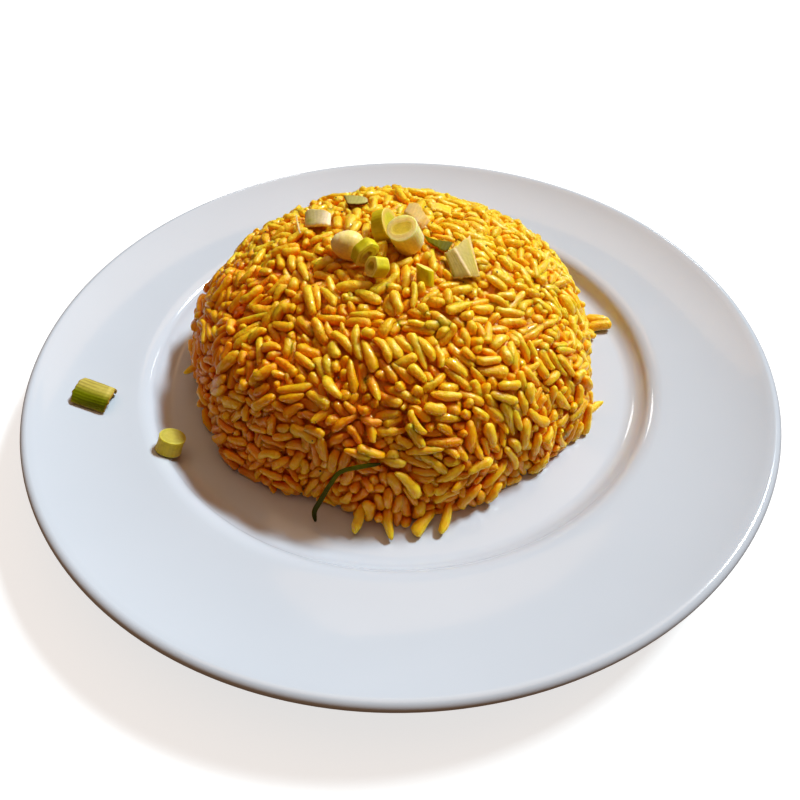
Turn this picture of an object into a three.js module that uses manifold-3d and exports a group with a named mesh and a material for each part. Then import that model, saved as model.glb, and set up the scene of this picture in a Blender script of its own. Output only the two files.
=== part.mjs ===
// A moulded heap of yellow fried rice on a round rim plate, topped with cut spring onion.
// Millimetres, +Z up, origin on the table under the middle of the plate.
import * as THREE from "three";
import { ConvexHull } from "three/addons/math/ConvexHull.js";
import { mergeVertices } from "three/addons/utils/BufferGeometryUtils.js";
import Module from "manifold-3d";

const wasm = await Module();
wasm.setup();

// Room left between two pieces that touch.
const gap = 0.3;

// Plate: a flat well, a short wall, a broad dished rim with a round lip, and a foot ring.
// Each place of the section is [radius, height]; a pull is the control point of the curve there.
const plate = {
  radius: 115,
  height: 19.5,
  lip: 1.8,
  floor: 6,
  wellEdge: [73.8, 6],
  filletPull: [77.4, 6],
  wall: [79.9, 9.6],
  shoulderPull: [81, 11.8],
  shoulder: [84.6, 12.4],
  rimPull: [101.6, 14.2],
  underRimPull: [103.4, 11.2],
  underShoulder: [86.4, 8.8],
  underWallPull: [77.4, 2.9],
  recess: 2.2,
  footOuter: 66.4,
  footInner: 61.2,
  footEdge: 0.7,
  sides: 72,
  curveSteps: 2,
};

// Heap: a dome over a lobed foot, standing a little off the plate's centre.
const heap = {
  x: -2.3,
  y: 3.2,
  radius: 65.7,
  base: plate.floor + gap,
  top: 54.7,
  power: 1.93,
  lobes: 7,
  lobeDepth: 2.2,
  lobeTurn: 0.56,
  swell: 0.55,
  footPoints: 104,
  footUneven: 0.9,
};
heap.rise = heap.top - heap.base;

// Grain: length and radius of one cooked grain, and how bumps of its size are packed on the dome.
const grain = {
  length: 8.6,
  radius: 1.15,
  sides: 5,
  strayProfile: [[0, -1], [0.62, -0.78], [0.94, -0.35], [1, 0.1], [0.85, 0.5], [0.55, 0.84], [0, 1]],
  fusedProfile: [[0, -1], [0.74, -0.62], [1, 0], [0.74, 0.62], [0, 1]],
  bumpHeight: 0.8,
  bumpHalf: 2.6,
  bumpTilt: 0.45,
  packAlong: 8.6,
  packAcross: 3.3,
  valleyDepth: 0.6,
  valleyToRidge: 1.75,
  valleyToValley: 3.2,
  draws: 26000,
  lowest: 0.06,
};

// Whole grains that stand out of the heap: round its foot, and evenly over the rest.
const proudGrains = {
  foot: 22,
  crown: 12,
  footLift: [-0.4, 0.5],
  crownLift: 0.7,
  size: [0.85, 1.1],
  clearOfToppings: 8.5,
};

// Grains that have slipped to the foot of the heap and stick out of it, from root to tip.
const slippedGrains = [
  { root: [-3.9, -62.6, 11.6], tip: [-2.9, -69.8, 7.2] },
  { root: [8.6, -62.3, 9.4], tip: [3.4, -68.3, 7.3] },
  { root: [12.8, -61.6, 10.6], tip: [10.6, -67.6, 7.4] },
  { root: [-10.2, -61.8, 12.4], tip: [-12.6, -67.4, 7.4] },
  { root: [56.4, -29.5, 10.5], tip: [61.8, -25.4, 10.2] },
  { root: [-61.8, -9.6, 16.5], tip: [-68.2, -12.8, 13.8] },
];

// Grains that lie loose in the well, right of the heap.
const strayGrains = [
  { name: "rice_grain_stray_1", at: [70.4, 16.6, 7.9], lies: [0.92, -0.28, 0.14], size: 1.05 },
  { name: "rice_grain_stray_2", at: [71, 13.2, 7.8], lies: [0.97, 0.12, 0.1], size: 1.05 },
  { name: "rice_grain_stray_3", at: [67, 9.6, 7.5], lies: [0.5, -0.8, 0.05], size: 0.55 },
];

const colour = {
  glaze: 0xe9ebf0,
  rice: 0xe8a512,
  pale: 0xe4d7a0,
  skin: 0xdcc79a,
  fresh: 0xb9c41f,
  leaf: 0x5a6b0c,
  dark: 0x3c4a08,
  dry: 0x9a9a5c,
};

// Slices of stem: middle, the way the upper cut face looks, and size. Some are turned about that
// way first, or sheared, each place's height along it rising by shear times its x.
const stemSlices = [
  {
    name: "onion_slice_large", tint: colour.pale, at: [2.3, -6.5, 58.6], faces: [-0.31, -0.39, 0.87],
    radius: 4.3, length: 7.4, oval: 0.94, core: 0.6,
  },
  {
    name: "onion_slice_leaning", tint: colour.fresh, at: [-3.3, 0, 57.4], faces: [0.85, -0.3, 0.43],
    radius: 4.7, length: 3.9, core: 0.5,
  },
  {
    name: "onion_ring_green", tint: colour.fresh, at: [-8.7, -11.4, 56.6],
    faces: [0.46, -0.88, -0.1], turned: 1.1, radius: 3.9, length: 2.8, hole: 1.4, oval: 0.8, sides: 10,
  },
  {
    name: "onion_ring_second", tint: colour.fresh, at: [-5.6, -16.2, 55.3],
    faces: [-0.77, -0.46, 0.43], radius: 2.95, length: 3.9, hole: 1.45, oval: 0.95, sides: 10,
  },
  {
    name: "onion_bit_green", tint: colour.fresh, at: [7.2, -17.7, 53.4], faces: [-0.01, 0.37, 0.93],
    radius: 2.35, length: 4.5, oval: 0.75, shear: -0.42, sides: 10,
  },
  {
    name: "onion_slice_step", tint: colour.fresh, at: [-66.6, -40.5, 12.6], faces: [0.43, 0.31, 0.85],
    radius: 3.7, length: 5.4, oval: 0.97, waist: 0.95,
  },
];

// The egg-shaped end of a bulb, lying with its narrow tip to the left.
const bulb = {
  name: "onion_bulb_end", tint: colour.skin, at: [-13.9, -7.3, 56.4], faces: [-0.94, -0.12, 0.32],
  radius: 4, length: 8.9, sides: 14,
  profile: [
    [0, -0.5], [0.36, -0.49], [0.66, -0.45], [0.88, -0.35], [0.98, -0.22], [1, -0.08],
    [0.9, 0.12], [0.74, 0.28], [0.52, 0.4], [0.28, 0.47], [0, 0.5],
  ],
};

// Bent or folded pieces. Each is spanned by straight lines from its near edge to its far edge,
// which are curves through these points, or straight from point to point if the piece is creased.
const thinPieces = [
  {
    name: "onion_sheath_folded", tint: colour.pale, thickness: 1.2, steps: [4, 4], creased: true,
    near: [[12.8, -9, 54.3], [15.2, -8.5, 55.4], [20.5, 0.6, 53.6]],
    far: [[14.9, -16.7, 51.5], [19.2, -17, 52.4], [22.1, -14.5, 50.4]],
  },
  {
    name: "onion_leaf_dark", tint: colour.leaf, thickness: 0.6, steps: [6, 2],
    near: [[7.5, -1.3, 55.1], [10.2, -2.6, 54.7], [13.1, -2.7, 54.1], [15.7, -2.2, 53.4]],
    far: [[8.5, -3.5, 54.5], [10.7, -5.4, 54.1], [12.4, -6.6, 53.7], [14, -6.1, 53.3]],
  },
  {
    name: "onion_shell_pale", tint: colour.skin, thickness: 1.1, steps: [9, 3],
    near: [[3.7, 14.7, 55.7], [6.3, 13, 56.4], [7.9, 7.7, 56.4], [9.4, 6.1, 55]],
    far: [[2, 7.9, 56.9], [4.1, 3.9, 57.9], [5.6, 2, 57.2], [7, 1.8, 55.3]],
  },
  {
    name: "onion_arch_pale", tint: colour.skin, thickness: 1.4, steps: [9, 3],
    near: [[-28.5, 20.8, 49.6], [-26.5, 19.3, 51.6], [-21.5, 14.2, 54], [-19.7, 12, 53.7]],
    far: [[-27.3, 9.7, 51.7], [-25, 7.2, 53.5], [-21.8, 5.8, 54.6], [-19.4, 6, 54.1]],
  },
  {
    name: "onion_flake_dry", tint: colour.dry, thickness: 0.9, steps: [6, 3],
    near: [[-17.2, 30.9, 49.7], [-14.2, 27.6, 51.5], [-10.8, 24.9, 52.6], [-9.1, 22.8, 52.9]],
    far: [[-15.2, 19.9, 53.1], [-13.9, 18.4, 53.7], [-10.9, 17.9, 54], [-8.9, 19.3, 53.7]],
  },
  {
    name: "onion_bit_pale", tint: colour.pale, thickness: 0.9, steps: [4, 2],
    near: [[10.4, 18.2, 53], [12.7, 20.6, 52.4], [16.6, 18.9, 51.6]],
    far: [[10.4, 15, 53.5], [12.9, 14.8, 53.4], [16, 13.1, 52.7]],
  },
  {
    name: "onion_tube_rim", tint: colour.leaf, thickness: 0.9, steps: [12, 3],
    near: [
      [-96.8, -18.4, 15.3], [-96.7, -19.1, 18.2], [-97.4, -22.4, 18.9], [-98.2, -25.2, 18],
      [-98.5, -27.1, 16.4],
    ],
    far: [
      [-87.4, -21.6, 13.9], [-86.4, -22.7, 16.6], [-86.2, -26.6, 17.6], [-87.2, -28.7, 16.4],
      [-88.8, -29.6, 14.2],
    ],
  },
];

// A narrow shred of leaf that hangs off the front of the heap down to the well.
const shred = {
  name: "onion_shred", tint: colour.dark, width: 1.3, thickness: 0.5, steps: [1, 16],
  outward: [-0.15, -0.93, 0.33],
  line: [
    [-5.2, -58.8, 25.8], [-10.6, -59.9, 26], [-15.4, -60.2, 24.4], [-18.2, -61.2, 20.6],
    [-21.2, -62.5, 15.2], [-23.2, -63.2, 11], [-23.4, -63.8, 6.9],
  ],
};

// How much wider, longer and thicker the seat of a thin piece is cut.
const thinSeat = { margin: 0.06, thicker: 0.7 };

// Repeatable random numbers from 0 to 1.
function seeded(seed) {
  let state = seed;
  return () => {
    state = (state + 0x6d2b79f5) | 0;
    let mixed = Math.imul(state ^ (state >>> 15), 1 | state);
    mixed = (mixed + Math.imul(mixed ^ (mixed >>> 7), 61 | mixed)) ^ mixed;
    return ((mixed ^ (mixed >>> 14)) >>> 0) / 4294967296;
  };
}

// ---- solids from meshes, and back

function solidOf(geometry) {
  const bare = new THREE.BufferGeometry();
  bare.setAttribute("position", geometry.getAttribute("position").clone());
  if (geometry.index) bare.setIndex(geometry.index.clone());
  const merged = mergeVertices(bare, 1e-4);
  const triVerts = [];
  const index = merged.index.array;
  for (let i = 0; i < index.length; i += 3) {
    const [a, b, c] = index.slice(i, i + 3);
    if (a !== b && b !== c && c !== a) triVerts.push(a, b, c);
  }
  return new wasm.Manifold(new wasm.Mesh({
    numProp: 3,
    vertProperties: new Float32Array(merged.getAttribute("position").array),
    triVerts: new Uint32Array(triVerts),
  }));
}

function geometryOf(solid) {
  const mesh = solid.getMesh();
  const geometry = new THREE.BufferGeometry();
  geometry.setAttribute("position", new THREE.BufferAttribute(mesh.vertProperties, 3));
  geometry.setIndex(new THREE.BufferAttribute(mesh.triVerts, 1));
  geometry.computeVertexNormals();
  return geometry;
}

// The biggest connected piece, without scraps and without the skins of sealed hollows.
function largestPiece(solid) {
  return solid.decompose().reduce((best, piece) => (piece.volume() > best.volume() ? piece : best));
}

// A solid of revolution about +Z from [radius, height] pairs.
function turnedAboutZ(pairs, sides) {
  const points = pairs.map(([r, z]) => new THREE.Vector2(r, z));
  return new THREE.LatheGeometry(points, sides).rotateX(Math.PI / 2);
}

// ---- plate

// The section from the middle of the underside, out over the foot and lip, and back to the well.
function plateSection() {
  const p = plate;
  const lipRadius = p.radius - p.lip;
  const lipHeight = p.height - p.lip;
  const section = new THREE.Path();
  section.moveTo(0, p.recess);
  section.lineTo(p.footInner - p.footEdge, p.recess);
  section.lineTo(p.footInner, p.footEdge);
  section.lineTo(p.footInner + p.footEdge, 0);
  section.lineTo(p.footOuter - p.footEdge, 0);
  section.lineTo(p.footOuter, p.footEdge);
  section.lineTo(p.footOuter + p.footEdge, p.recess + p.footEdge);
  section.quadraticCurveTo(...p.underWallPull, ...p.underShoulder);
  section.quadraticCurveTo(...p.underRimPull, lipRadius, lipHeight - p.lip);
  section.absarc(lipRadius, lipHeight, p.lip, -Math.PI / 2, 0.6 * Math.PI, false);
  section.quadraticCurveTo(...p.rimPull, ...p.shoulder);
  section.quadraticCurveTo(...p.shoulderPull, ...p.wall);
  section.quadraticCurveTo(...p.filletPull, ...p.wellEdge);
  section.lineTo(0, p.floor);
  return section.getPoints(p.curveSteps).map(({ x, y }) => [x, y]);
}

// ---- heap of rice

// Slow swells of the dome, as products of sines over the heap.
function swell(way) {
  const broad = Math.sin(4.1 * way.x + 1.3) * Math.sin(3.7 * way.y - 2.4);
  const fine = Math.sin(8.3 * way.x - 2.1) * Math.sin(7.9 * way.y + 1.1) * 0.6;
  return heap.swell * (broad + fine);
}

function heapNormal(way) {
  return new THREE.Vector3(
    way.x / heap.radius, way.y / heap.radius, way.z / heap.rise,
  ).normalize();
}

// The point of the dome that lies towards the unit vector way, raised by lift along the normal.
function heapPoint(way, lift = 0) {
  const turn = Math.atan2(way.y, way.x);
  const lobe = heap.lobeDepth * (1 - way.z) ** 2 * Math.cos(heap.lobes * (turn + heap.lobeTurn));
  const reach = (heap.radius + lobe) * Math.max(0, 1 - way.z ** 2) ** (1 / heap.power);
  return new THREE.Vector3(
    heap.x + reach * Math.cos(turn),
    heap.y + reach * Math.sin(turn),
    heap.base + heap.rise * way.z,
  ).addScaledVector(heapNormal(way), lift + swell(way));
}

// The unit vector reached from way after a step of so many millimetres along the dome.
function stepped(way, direction, distance) {
  return new THREE.Vector3(
    way.x + direction.x * distance / heap.radius,
    way.y + direction.y * distance / heap.radius,
    way.z + direction.z * distance / heap.rise,
  ).normalize();
}

// The unit vector at a turn about +Z and a height from 0 at the foot to 1 at the top.
function wayAt(turn, z) {
  const flat = Math.sqrt(1 - z * z);
  return new THREE.Vector3(flat * Math.cos(turn), flat * Math.sin(turn), z);
}

function wayOnDome(random) {
  const z = grain.lowest + (1 - grain.lowest) * random();
  return wayAt(2 * Math.PI * random(), z);
}

// How a grain lies at a place: a direction along the dome that turns slowly, plus its own turn.
function lie(way, turn) {
  const angle = 2.2 * Math.sin(2.7 * way.x + 0.8) + 2.4 * Math.cos(2.3 * way.y - 1.9) + turn;
  const normal = heapNormal(way);
  const guide = new THREE.Vector3(Math.cos(angle), Math.sin(angle), 0.7 * Math.sin(1.7 * angle));
  return guide.addScaledVector(normal, -guide.dot(normal)).normalize();
}

// Distance between two lying grains, as a share of how close they may be packed.
function packShare(one, other) {
  const delta = other.point.clone().sub(one.point);
  const along = delta.dot(one.direction);
  const across = Math.sqrt(Math.max(0, delta.lengthSq() - along * along));
  return Math.hypot(along / grain.packAlong, across / grain.packAcross);
}

function packedGrains(random) {
  const packed = [];
  for (let i = 0; i < grain.draws; i += 1) {
    const way = wayOnDome(random);
    const direction = lie(way, 1.3 * (random() - 0.5));
    const one = { way, direction, point: heapPoint(way) };
    const near = packed.some((other) => (
      one.point.distanceTo(other.point) < grain.packAlong
      && (packShare(one, other) < 1 || packShare(other, one) < 1)
    ));
    if (!near) packed.push(one);
  }
  return packed;
}

// Every bump has three ridge points, one end a little higher; valley points fill the rest.
function domePoints(random) {
  const points = [];
  const ridge = [];
  for (const one of packedGrains(random)) {
    const tilt = grain.bumpTilt * (2 * random() - 1);
    for (const share of [-1, 0, 1]) {
      const way = stepped(one.way, one.direction, share * grain.bumpHalf);
      if (way.z > grain.lowest / 2) {
        const point = heapPoint(way, grain.bumpHeight * (1 - 0.4 * share * share) + tilt * share);
        points.push({ way, point });
        ridge.push(point);
      }
    }
  }
  const valley = [];
  for (let i = 0; i < grain.draws; i += 1) {
    const way = wayOnDome(random);
    const point = heapPoint(way, -grain.valleyDepth);
    const clear = ridge.every((other) => point.distanceTo(other) > grain.valleyToRidge)
      && valley.every((other) => point.distanceTo(other) > grain.valleyToValley);
    if (clear) {
      points.push({ way, point });
      valley.push(point);
    }
  }
  return points;
}

// Points of the uneven foot, and the middle of the underside.
function footPoints(random) {
  const points = [];
  for (let i = 0; i < heap.footPoints; i += 1) {
    const way = wayAt(2 * Math.PI * (i + 0.6 * random()) / heap.footPoints, 0);
    points.push({ way, point: heapPoint(way, heap.footUneven * (2 * random() - 1)) });
  }
  const down = new THREE.Vector3(0, 0, -1);
  points.push({ way: down, point: new THREE.Vector3(heap.x, heap.y, heap.base) });
  return points;
}

// The skin joins neighbours on the unit ball, so that bumps may stand in any relief.
function domeGeometry(random) {
  const points = [...domePoints(random), ...footPoints(random)];
  const number = new Map(points.map((one, i) => [one.way, i]));
  const hull = new ConvexHull().setFromPoints(points.map((one) => one.way));
  const index = hull.faces.flatMap(({ edge }) => (
    [edge, edge.next, edge.next.next].map((side) => number.get(side.head().point))
  ));
  const geometry = new THREE.BufferGeometry().setFromPoints(points.map((one) => one.point));
  return geometry.setIndex(index);
}

// A grain about +Y, its profile given as shares of its radius and of its half length.
function grainGeometry(profile, sides, size) {
  const half = grain.length / 2 * size;
  const points = profile.map(([r, y]) => new THREE.Vector2(r * grain.radius, y * half));
  return new THREE.LatheGeometry(points, sides);
}

// A grain in the heap, lying along a direction, flattened where it meets the plate.
function fusedGrain(middle, direction, size = 1) {
  const geometry = grainGeometry(grain.fusedProfile, grain.sides, size);
  const turn = new THREE.Quaternion().setFromUnitVectors(new THREE.Vector3(0, 1, 0), direction);
  geometry.applyQuaternion(turn).translate(middle.x, middle.y, middle.z);
  const position = geometry.getAttribute("position");
  for (let i = 0; i < position.count; i += 1) {
    position.setZ(i, Math.max(position.getZ(i), heap.base));
  }
  return geometry;
}

function between([low, high], share) {
  return low + (high - low) * share;
}

// Slipped grains, a ring of grains round the foot, and a spiral of grains over the dome.
function fusedGrains(random, toppingCentres) {
  const grains = slippedGrains.map(({ root, tip }) => {
    const from = new THREE.Vector3(...root);
    const to = new THREE.Vector3(...tip);
    return fusedGrain(from.clone().lerp(to, 0.5), to.sub(from).normalize());
  });
  const add = (way, lift, lean) => {
    const direction = lie(way, 3 * random()).addScaledVector(heapNormal(way), lean).normalize();
    const middle = heapPoint(way, lift);
    const clear = toppingCentres.every(
      (centre) => centre.distanceTo(middle) > proudGrains.clearOfToppings,
    );
    if (clear) grains.push(fusedGrain(middle, direction, between(proudGrains.size, random())));
  };
  for (let i = 0; i < proudGrains.foot; i += 1) {
    const turn = 2 * Math.PI * (i + 0.5 * random()) / proudGrains.foot;
    const way = wayAt(turn, between([0.03, 0.1], random()));
    add(way, between(proudGrains.footLift, random()), 0.5 * random());
  }
  const golden = Math.PI * (3 - Math.sqrt(5));
  for (let i = 0; i < proudGrains.crown; i += 1) {
    const way = wayAt(i * golden, between([0.22, 0.94], (i + 0.5) / proudGrains.crown));
    add(way, proudGrains.crownLift, between([0.35, 0.65], random()));
  }
  return grains;
}

// The dome and its grains in one body, with a seat cut for every topping.
function heapGeometry(toppings) {
  const random = seeded(20);
  const dome = solidOf(domeGeometry(random));
  const centres = toppings.map(({ mesh }) => mesh.position);
  const grains = fusedGrains(random, centres).map(solidOf);
  const seats = toppings.map(({ mesh, seat }) => {
    mesh.updateMatrix();
    return solidOf(seat.applyMatrix4(mesh.matrix));
  });
  const joined = wasm.Manifold.union([dome, ...grains]);
  return geometryOf(largestPiece(joined.subtract(wasm.Manifold.union(seats))));
}

// ---- cut spring onion

// Flattens a turned shape to an oval, and shears it along +Z by its x.
function ovalShape(pairs, { oval = 1, shear = 0, sides = 12 }) {
  const lean = new THREE.Matrix4().makeShear(0, shear, 0, 0, 0, 0);
  return turnedAboutZ(pairs, sides).scale(1, oval, 1).applyMatrix4(lean);
}

// A slice of stem about +Z: a ring if it has a hole, or a core sunk a little into its cut face.
function stemSlice(slice) {
  const { radius, length, hole = 0, core = 0.55, waist = 1 } = slice;
  const end = length / 2;
  const bevel = 0.06 * radius;
  const outside = [
    [radius - bevel, -end], [radius, -end + bevel], [radius * waist, 0],
    [radius, end - bevel], [radius - bevel, end],
  ];
  const ring = [...outside, [hole, end], [hole, -end], [radius - bevel, -end]];
  const filled = [
    [0, -end], ...outside, [radius * core, end], [radius * core - 0.35, end - 0.5], [0, end - 0.4],
  ];
  return ovalShape(hole > 0 ? ring : filled, slice);
}

function stemSeat(slice) {
  const wide = slice.radius + 1.2 * gap;
  const end = slice.length / 2 + gap;
  return ovalShape([[0, -end], [wide, -end], [wide, end], [0, end]], slice);
}

// The end of a bulb about +Z, wider by so much all round.
function bulbEnd({ radius, length, profile, sides }, wider = 0) {
  const pairs = profile.map(([r, z]) => [r * (radius + wider), z * (length + 2 * wider)]);
  return turnedAboutZ(pairs, sides);
}

// A thin closed solid about a surface(u, v) with u and v from 0 to 1; both faces are split alike.
function thinSolid(surface, [acrossSteps, alongSteps], thickness, margin = 0) {
  const share = (i, steps) => -margin + (1 + 2 * margin) * i / steps;
  const upper = [];
  const lower = [];
  for (let j = 0; j <= alongSteps; j += 1) {
    for (let i = 0; i <= acrossSteps; i += 1) {
      const u = share(i, acrossSteps);
      const v = share(j, alongSteps);
      const du = surface(u + 0.01, v).sub(surface(u - 0.01, v));
      const dv = surface(u, v + 0.01).sub(surface(u, v - 0.01));
      const half = du.cross(dv).normalize().multiplyScalar(thickness / 2);
      upper.push(surface(u, v).add(half));
      lower.push(surface(u, v).sub(half));
    }
  }
  const row = acrossSteps + 1;
  const under = upper.length;
  const index = [];
  const quad = (a, b, c, d) => index.push(a, b, c, a, c, d);
  for (let j = 0; j < alongSteps; j += 1) {
    for (let i = 0; i < acrossSteps; i += 1) {
      const a = j * row + i;
      quad(a, a + 1, a + row + 1, a + row);
      index.push(under + a, under + a + row + 1, under + a + 1);
      index.push(under + a, under + a + row, under + a + row + 1);
    }
  }
  const last = alongSteps * row;
  for (let i = 0; i < acrossSteps; i += 1) {
    quad(under + i, under + i + 1, i + 1, i);
    quad(last + i, last + i + 1, under + last + i + 1, under + last + i);
  }
  for (let j = 0; j < alongSteps; j += 1) {
    const left = j * row;
    const right = left + acrossSteps;
    quad(left, left + row, under + left + row, under + left);
    quad(under + right, under + right + row, right + row, right);
  }
  return new THREE.BufferGeometry().setFromPoints([...upper, ...lower]).setIndex(index);
}

// A line through points for shares from 0 to 1, going straight on beyond both ends.
function lineThrough(points, creased) {
  const stops = points.map((point) => new THREE.Vector3(...point));
  const curve = new THREE.CatmullRomCurve3(stops, false, "catmullrom");
  const last = stops.length - 1;
  const polyline = (share) => {
    const first = Math.min(Math.floor(share * last), last - 1);
    return stops[first].clone().lerp(stops[first + 1], share * last - first);
  };
  const inside = creased ? polyline : (share) => curve.getPoint(share);
  const step = 0.1;
  return (share) => {
    if (share < 0) return inside(0).lerp(inside(step), share / step);
    if (share > 1) return inside(1).lerp(inside(1 - step), (1 - share) / step);
    return inside(share);
  };
}

// A surface of straight lines from one edge, at v = 0, to another, at v = 1.
function ruled({ near, far, creased = false }) {
  const start = lineThrough(near, creased);
  const end = lineThrough(far, creased);
  return (u, v) => start(u).lerp(end(u), v);
}

// A ribbon along a line of points, its broad face turned outwards.
function ribbon({ line, width, outward }) {
  const curve = new THREE.CatmullRomCurve3(line.map((point) => new THREE.Vector3(...point)));
  const facing = new THREE.Vector3(...outward);
  return (u, v) => {
    const share = Math.min(Math.max(v, 0), 1);
    const tangent = curve.getTangent(share);
    const across = tangent.clone().cross(facing).normalize();
    return curve.getPoint(share)
      .addScaledVector(tangent, (v - share) * curve.getLength())
      .addScaledVector(across, (u - 0.5) * width);
  };
}

// ---- assembly

function meshOf(name, geometry, tint, roughness = 0.5) {
  const material = new THREE.MeshStandardMaterial({ color: tint, roughness, metalness: 0 });
  const mesh = new THREE.Mesh(geometry, material);
  mesh.name = name;
  return mesh;
}

// Turns a mesh about its own +Z, points that axis along faces, and sets it in its place.
function placed(mesh, { at, faces, turned = 0 }) {
  const up = new THREE.Vector3(0, 0, 1);
  mesh.position.set(...at);
  mesh.quaternion.setFromUnitVectors(up, new THREE.Vector3(...faces).normalize());
  mesh.quaternion.multiply(new THREE.Quaternion().setFromAxisAngle(up, turned));
  return mesh;
}

// Every topping as a mesh, with the closed shape that the rice leaves free for it.
function makeToppings() {
  const stems = stemSlices.map((piece) => ({
    mesh: placed(meshOf(piece.name, stemSlice(piece), piece.tint), piece),
    seat: stemSeat(piece),
  }));
  const end = {
    mesh: placed(meshOf(bulb.name, bulbEnd(bulb), bulb.tint), bulb),
    seat: bulbEnd(bulb, 1.3 * gap),
  };
  const thin = thinPieces.map((piece) => {
    const surface = ruled(piece);
    const middle = surface(0.5, 0.5);
    const sheet = (thicker, margin) => (
      thinSolid(surface, piece.steps, piece.thickness + thicker, margin)
        .translate(-middle.x, -middle.y, -middle.z)
    );
    const mesh = meshOf(piece.name, sheet(0, 0), piece.tint);
    mesh.position.copy(middle);
    return { mesh, seat: sheet(thinSeat.thicker, thinSeat.margin) };
  });
  const hanging = ribbon(shred);
  const strip = {
    mesh: meshOf(shred.name, thinSolid(hanging, shred.steps, shred.thickness), shred.tint),
    seat: thinSolid(hanging, shred.steps, shred.thickness + thinSeat.thicker, thinSeat.margin / 2),
  };
  return [...stems, end, ...thin, strip];
}

function strayGrain({ name, at, lies, size }) {
  const mesh = meshOf(name, grainGeometry(grain.strayProfile, 8, size), colour.rice, 0.35);
  mesh.position.set(...at);
  mesh.quaternion.setFromUnitVectors(
    new THREE.Vector3(0, 1, 0), new THREE.Vector3(...lies).normalize(),
  );
  return mesh;
}

const model = new THREE.Group();
const toppings = makeToppings();
model.add(meshOf("plate", turnedAboutZ(plateSection(), plate.sides), colour.glaze, 0.15));
model.add(meshOf("rice_heap", heapGeometry(toppings), colour.rice, 0.35));
model.add(...toppings.map(({ mesh }) => mesh));
model.add(...strayGrains.map(strayGrain));

export default model;
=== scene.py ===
from math import pi, radians

import bpy
import numpy as np
from mathutils import Matrix, Quaternion, Vector


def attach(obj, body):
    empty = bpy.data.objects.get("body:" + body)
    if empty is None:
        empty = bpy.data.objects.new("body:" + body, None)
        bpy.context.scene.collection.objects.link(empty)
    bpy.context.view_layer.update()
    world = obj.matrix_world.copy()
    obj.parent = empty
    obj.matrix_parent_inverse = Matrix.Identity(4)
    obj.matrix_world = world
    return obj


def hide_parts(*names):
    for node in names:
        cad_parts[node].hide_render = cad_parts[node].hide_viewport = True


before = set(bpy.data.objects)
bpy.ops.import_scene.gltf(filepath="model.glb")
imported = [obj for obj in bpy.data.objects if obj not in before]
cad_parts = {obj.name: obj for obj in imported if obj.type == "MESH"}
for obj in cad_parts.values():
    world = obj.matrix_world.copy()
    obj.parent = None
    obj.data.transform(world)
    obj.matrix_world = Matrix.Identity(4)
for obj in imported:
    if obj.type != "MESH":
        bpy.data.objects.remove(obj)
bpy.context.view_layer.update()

mm = 0.001                       # shapes below are worked out in millimetres
golden = pi * (3 - 5 ** 0.5)     # turn that spreads points of a spiral evenly
palestTint = 0.98                # no tint throws back more light than this
luckSeed = 41
luck = np.random.default_rng(luckSeed)


# Meshes from arrays

def toMesh(name, points, faceSets, material, smooth=True, values={}, tints=None):
    # points in millimetres and rows of corner numbers become one mesh object at the origin
    mesh = bpy.data.meshes.new(name)
    sizes = np.concatenate([np.full(len(rows), rows.shape[1]) for rows in faceSets])
    corners = np.concatenate([rows.ravel() for rows in faceSets])
    mesh.vertices.add(len(points))
    mesh.vertices.foreach_set("co", (np.asarray(points) * mm).ravel())
    mesh.loops.add(len(corners))
    mesh.loops.foreach_set("vertex_index", corners.astype(np.int32))
    mesh.polygons.add(len(sizes))
    mesh.polygons.foreach_set("loop_start", (np.cumsum(sizes) - sizes).astype(np.int32))
    mesh.update(calc_edges=True)
    mesh.validate()
    mesh.polygons.foreach_set("use_smooth", np.full(len(sizes), smooth))
    for label, numbers in values.items():
        mesh.attributes.new(label, "FLOAT", "POINT").data.foreach_set("value", numbers.ravel())
    if tints is not None:
        rgba = np.concatenate([np.minimum(tints, palestTint), np.ones((len(tints), 1))], axis=1)
        mesh.attributes.new("tint", "FLOAT_COLOR", "POINT").data.foreach_set("color", rgba.ravel())
    mesh.materials.append(material)
    piece = bpy.data.objects.new(name, mesh)
    bpy.context.scene.collection.objects.link(piece)
    return piece


def served(piece, slot, *nodes):
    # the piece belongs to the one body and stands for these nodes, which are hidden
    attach(piece, "root")
    if nodes:
        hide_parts(*nodes)
    return piece


def shellFaces(rings, sides):
    # faces of a closed shell: point 0, then rings of sides points, then a last point
    ring = np.arange(sides)
    after = (ring + 1) % sides
    start = 1 + sides * np.arange(rings - 1)[:, None]
    quads = np.stack([start + ring, start + after, start + sides + after, start + sides + ring], -1)
    last = 1 + sides * (rings - 1)
    caps = np.concatenate([
        np.stack([np.zeros(sides, int), after + 1, ring + 1], -1),
        np.stack([np.full(sides, last + sides), last + ring, last + after], -1),
    ])
    return quads.reshape(-1, 4), caps


def ringPoints(rows, sides):
    # for each row (radius, height) a ring of points about +Z
    turn = 2 * pi * np.arange(sides) / sides
    r, z = (np.array(rows, float)[:, k][:, None] + 0 * turn for k in (0, 1))
    return np.stack([r * np.cos(turn), r * np.sin(turn), z], -1).reshape(-1, 3)


def turnedShell(profile, sides):
    # rows (radius, height) turned about +Z, the first and the last of them on the axis
    first, last = ([(0, 0, height)] for height in profile[[0, -1], 1])
    points = np.concatenate([first, ringPoints(profile[1:-1], sides), last])
    return points, shellFaces(len(profile) - 2, sides)


def curveThrough(start, pull, end, steps):
    # quadratic curve: (1-t)^2 start + 2t(1-t) pull + t^2 end, without its first point
    t = np.arange(1, steps + 1)[:, None] / steps
    start, pull, end = (np.array(point, float) for point in (start, pull, end))
    return (1 - t) ** 2 * start + 2 * t * (1 - t) * pull + t ** 2 * end


def unit(vectors):
    # each vector over its own length
    return vectors / np.maximum(np.linalg.norm(vectors, axis=-1, keepdims=True), 1e-9)


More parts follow.
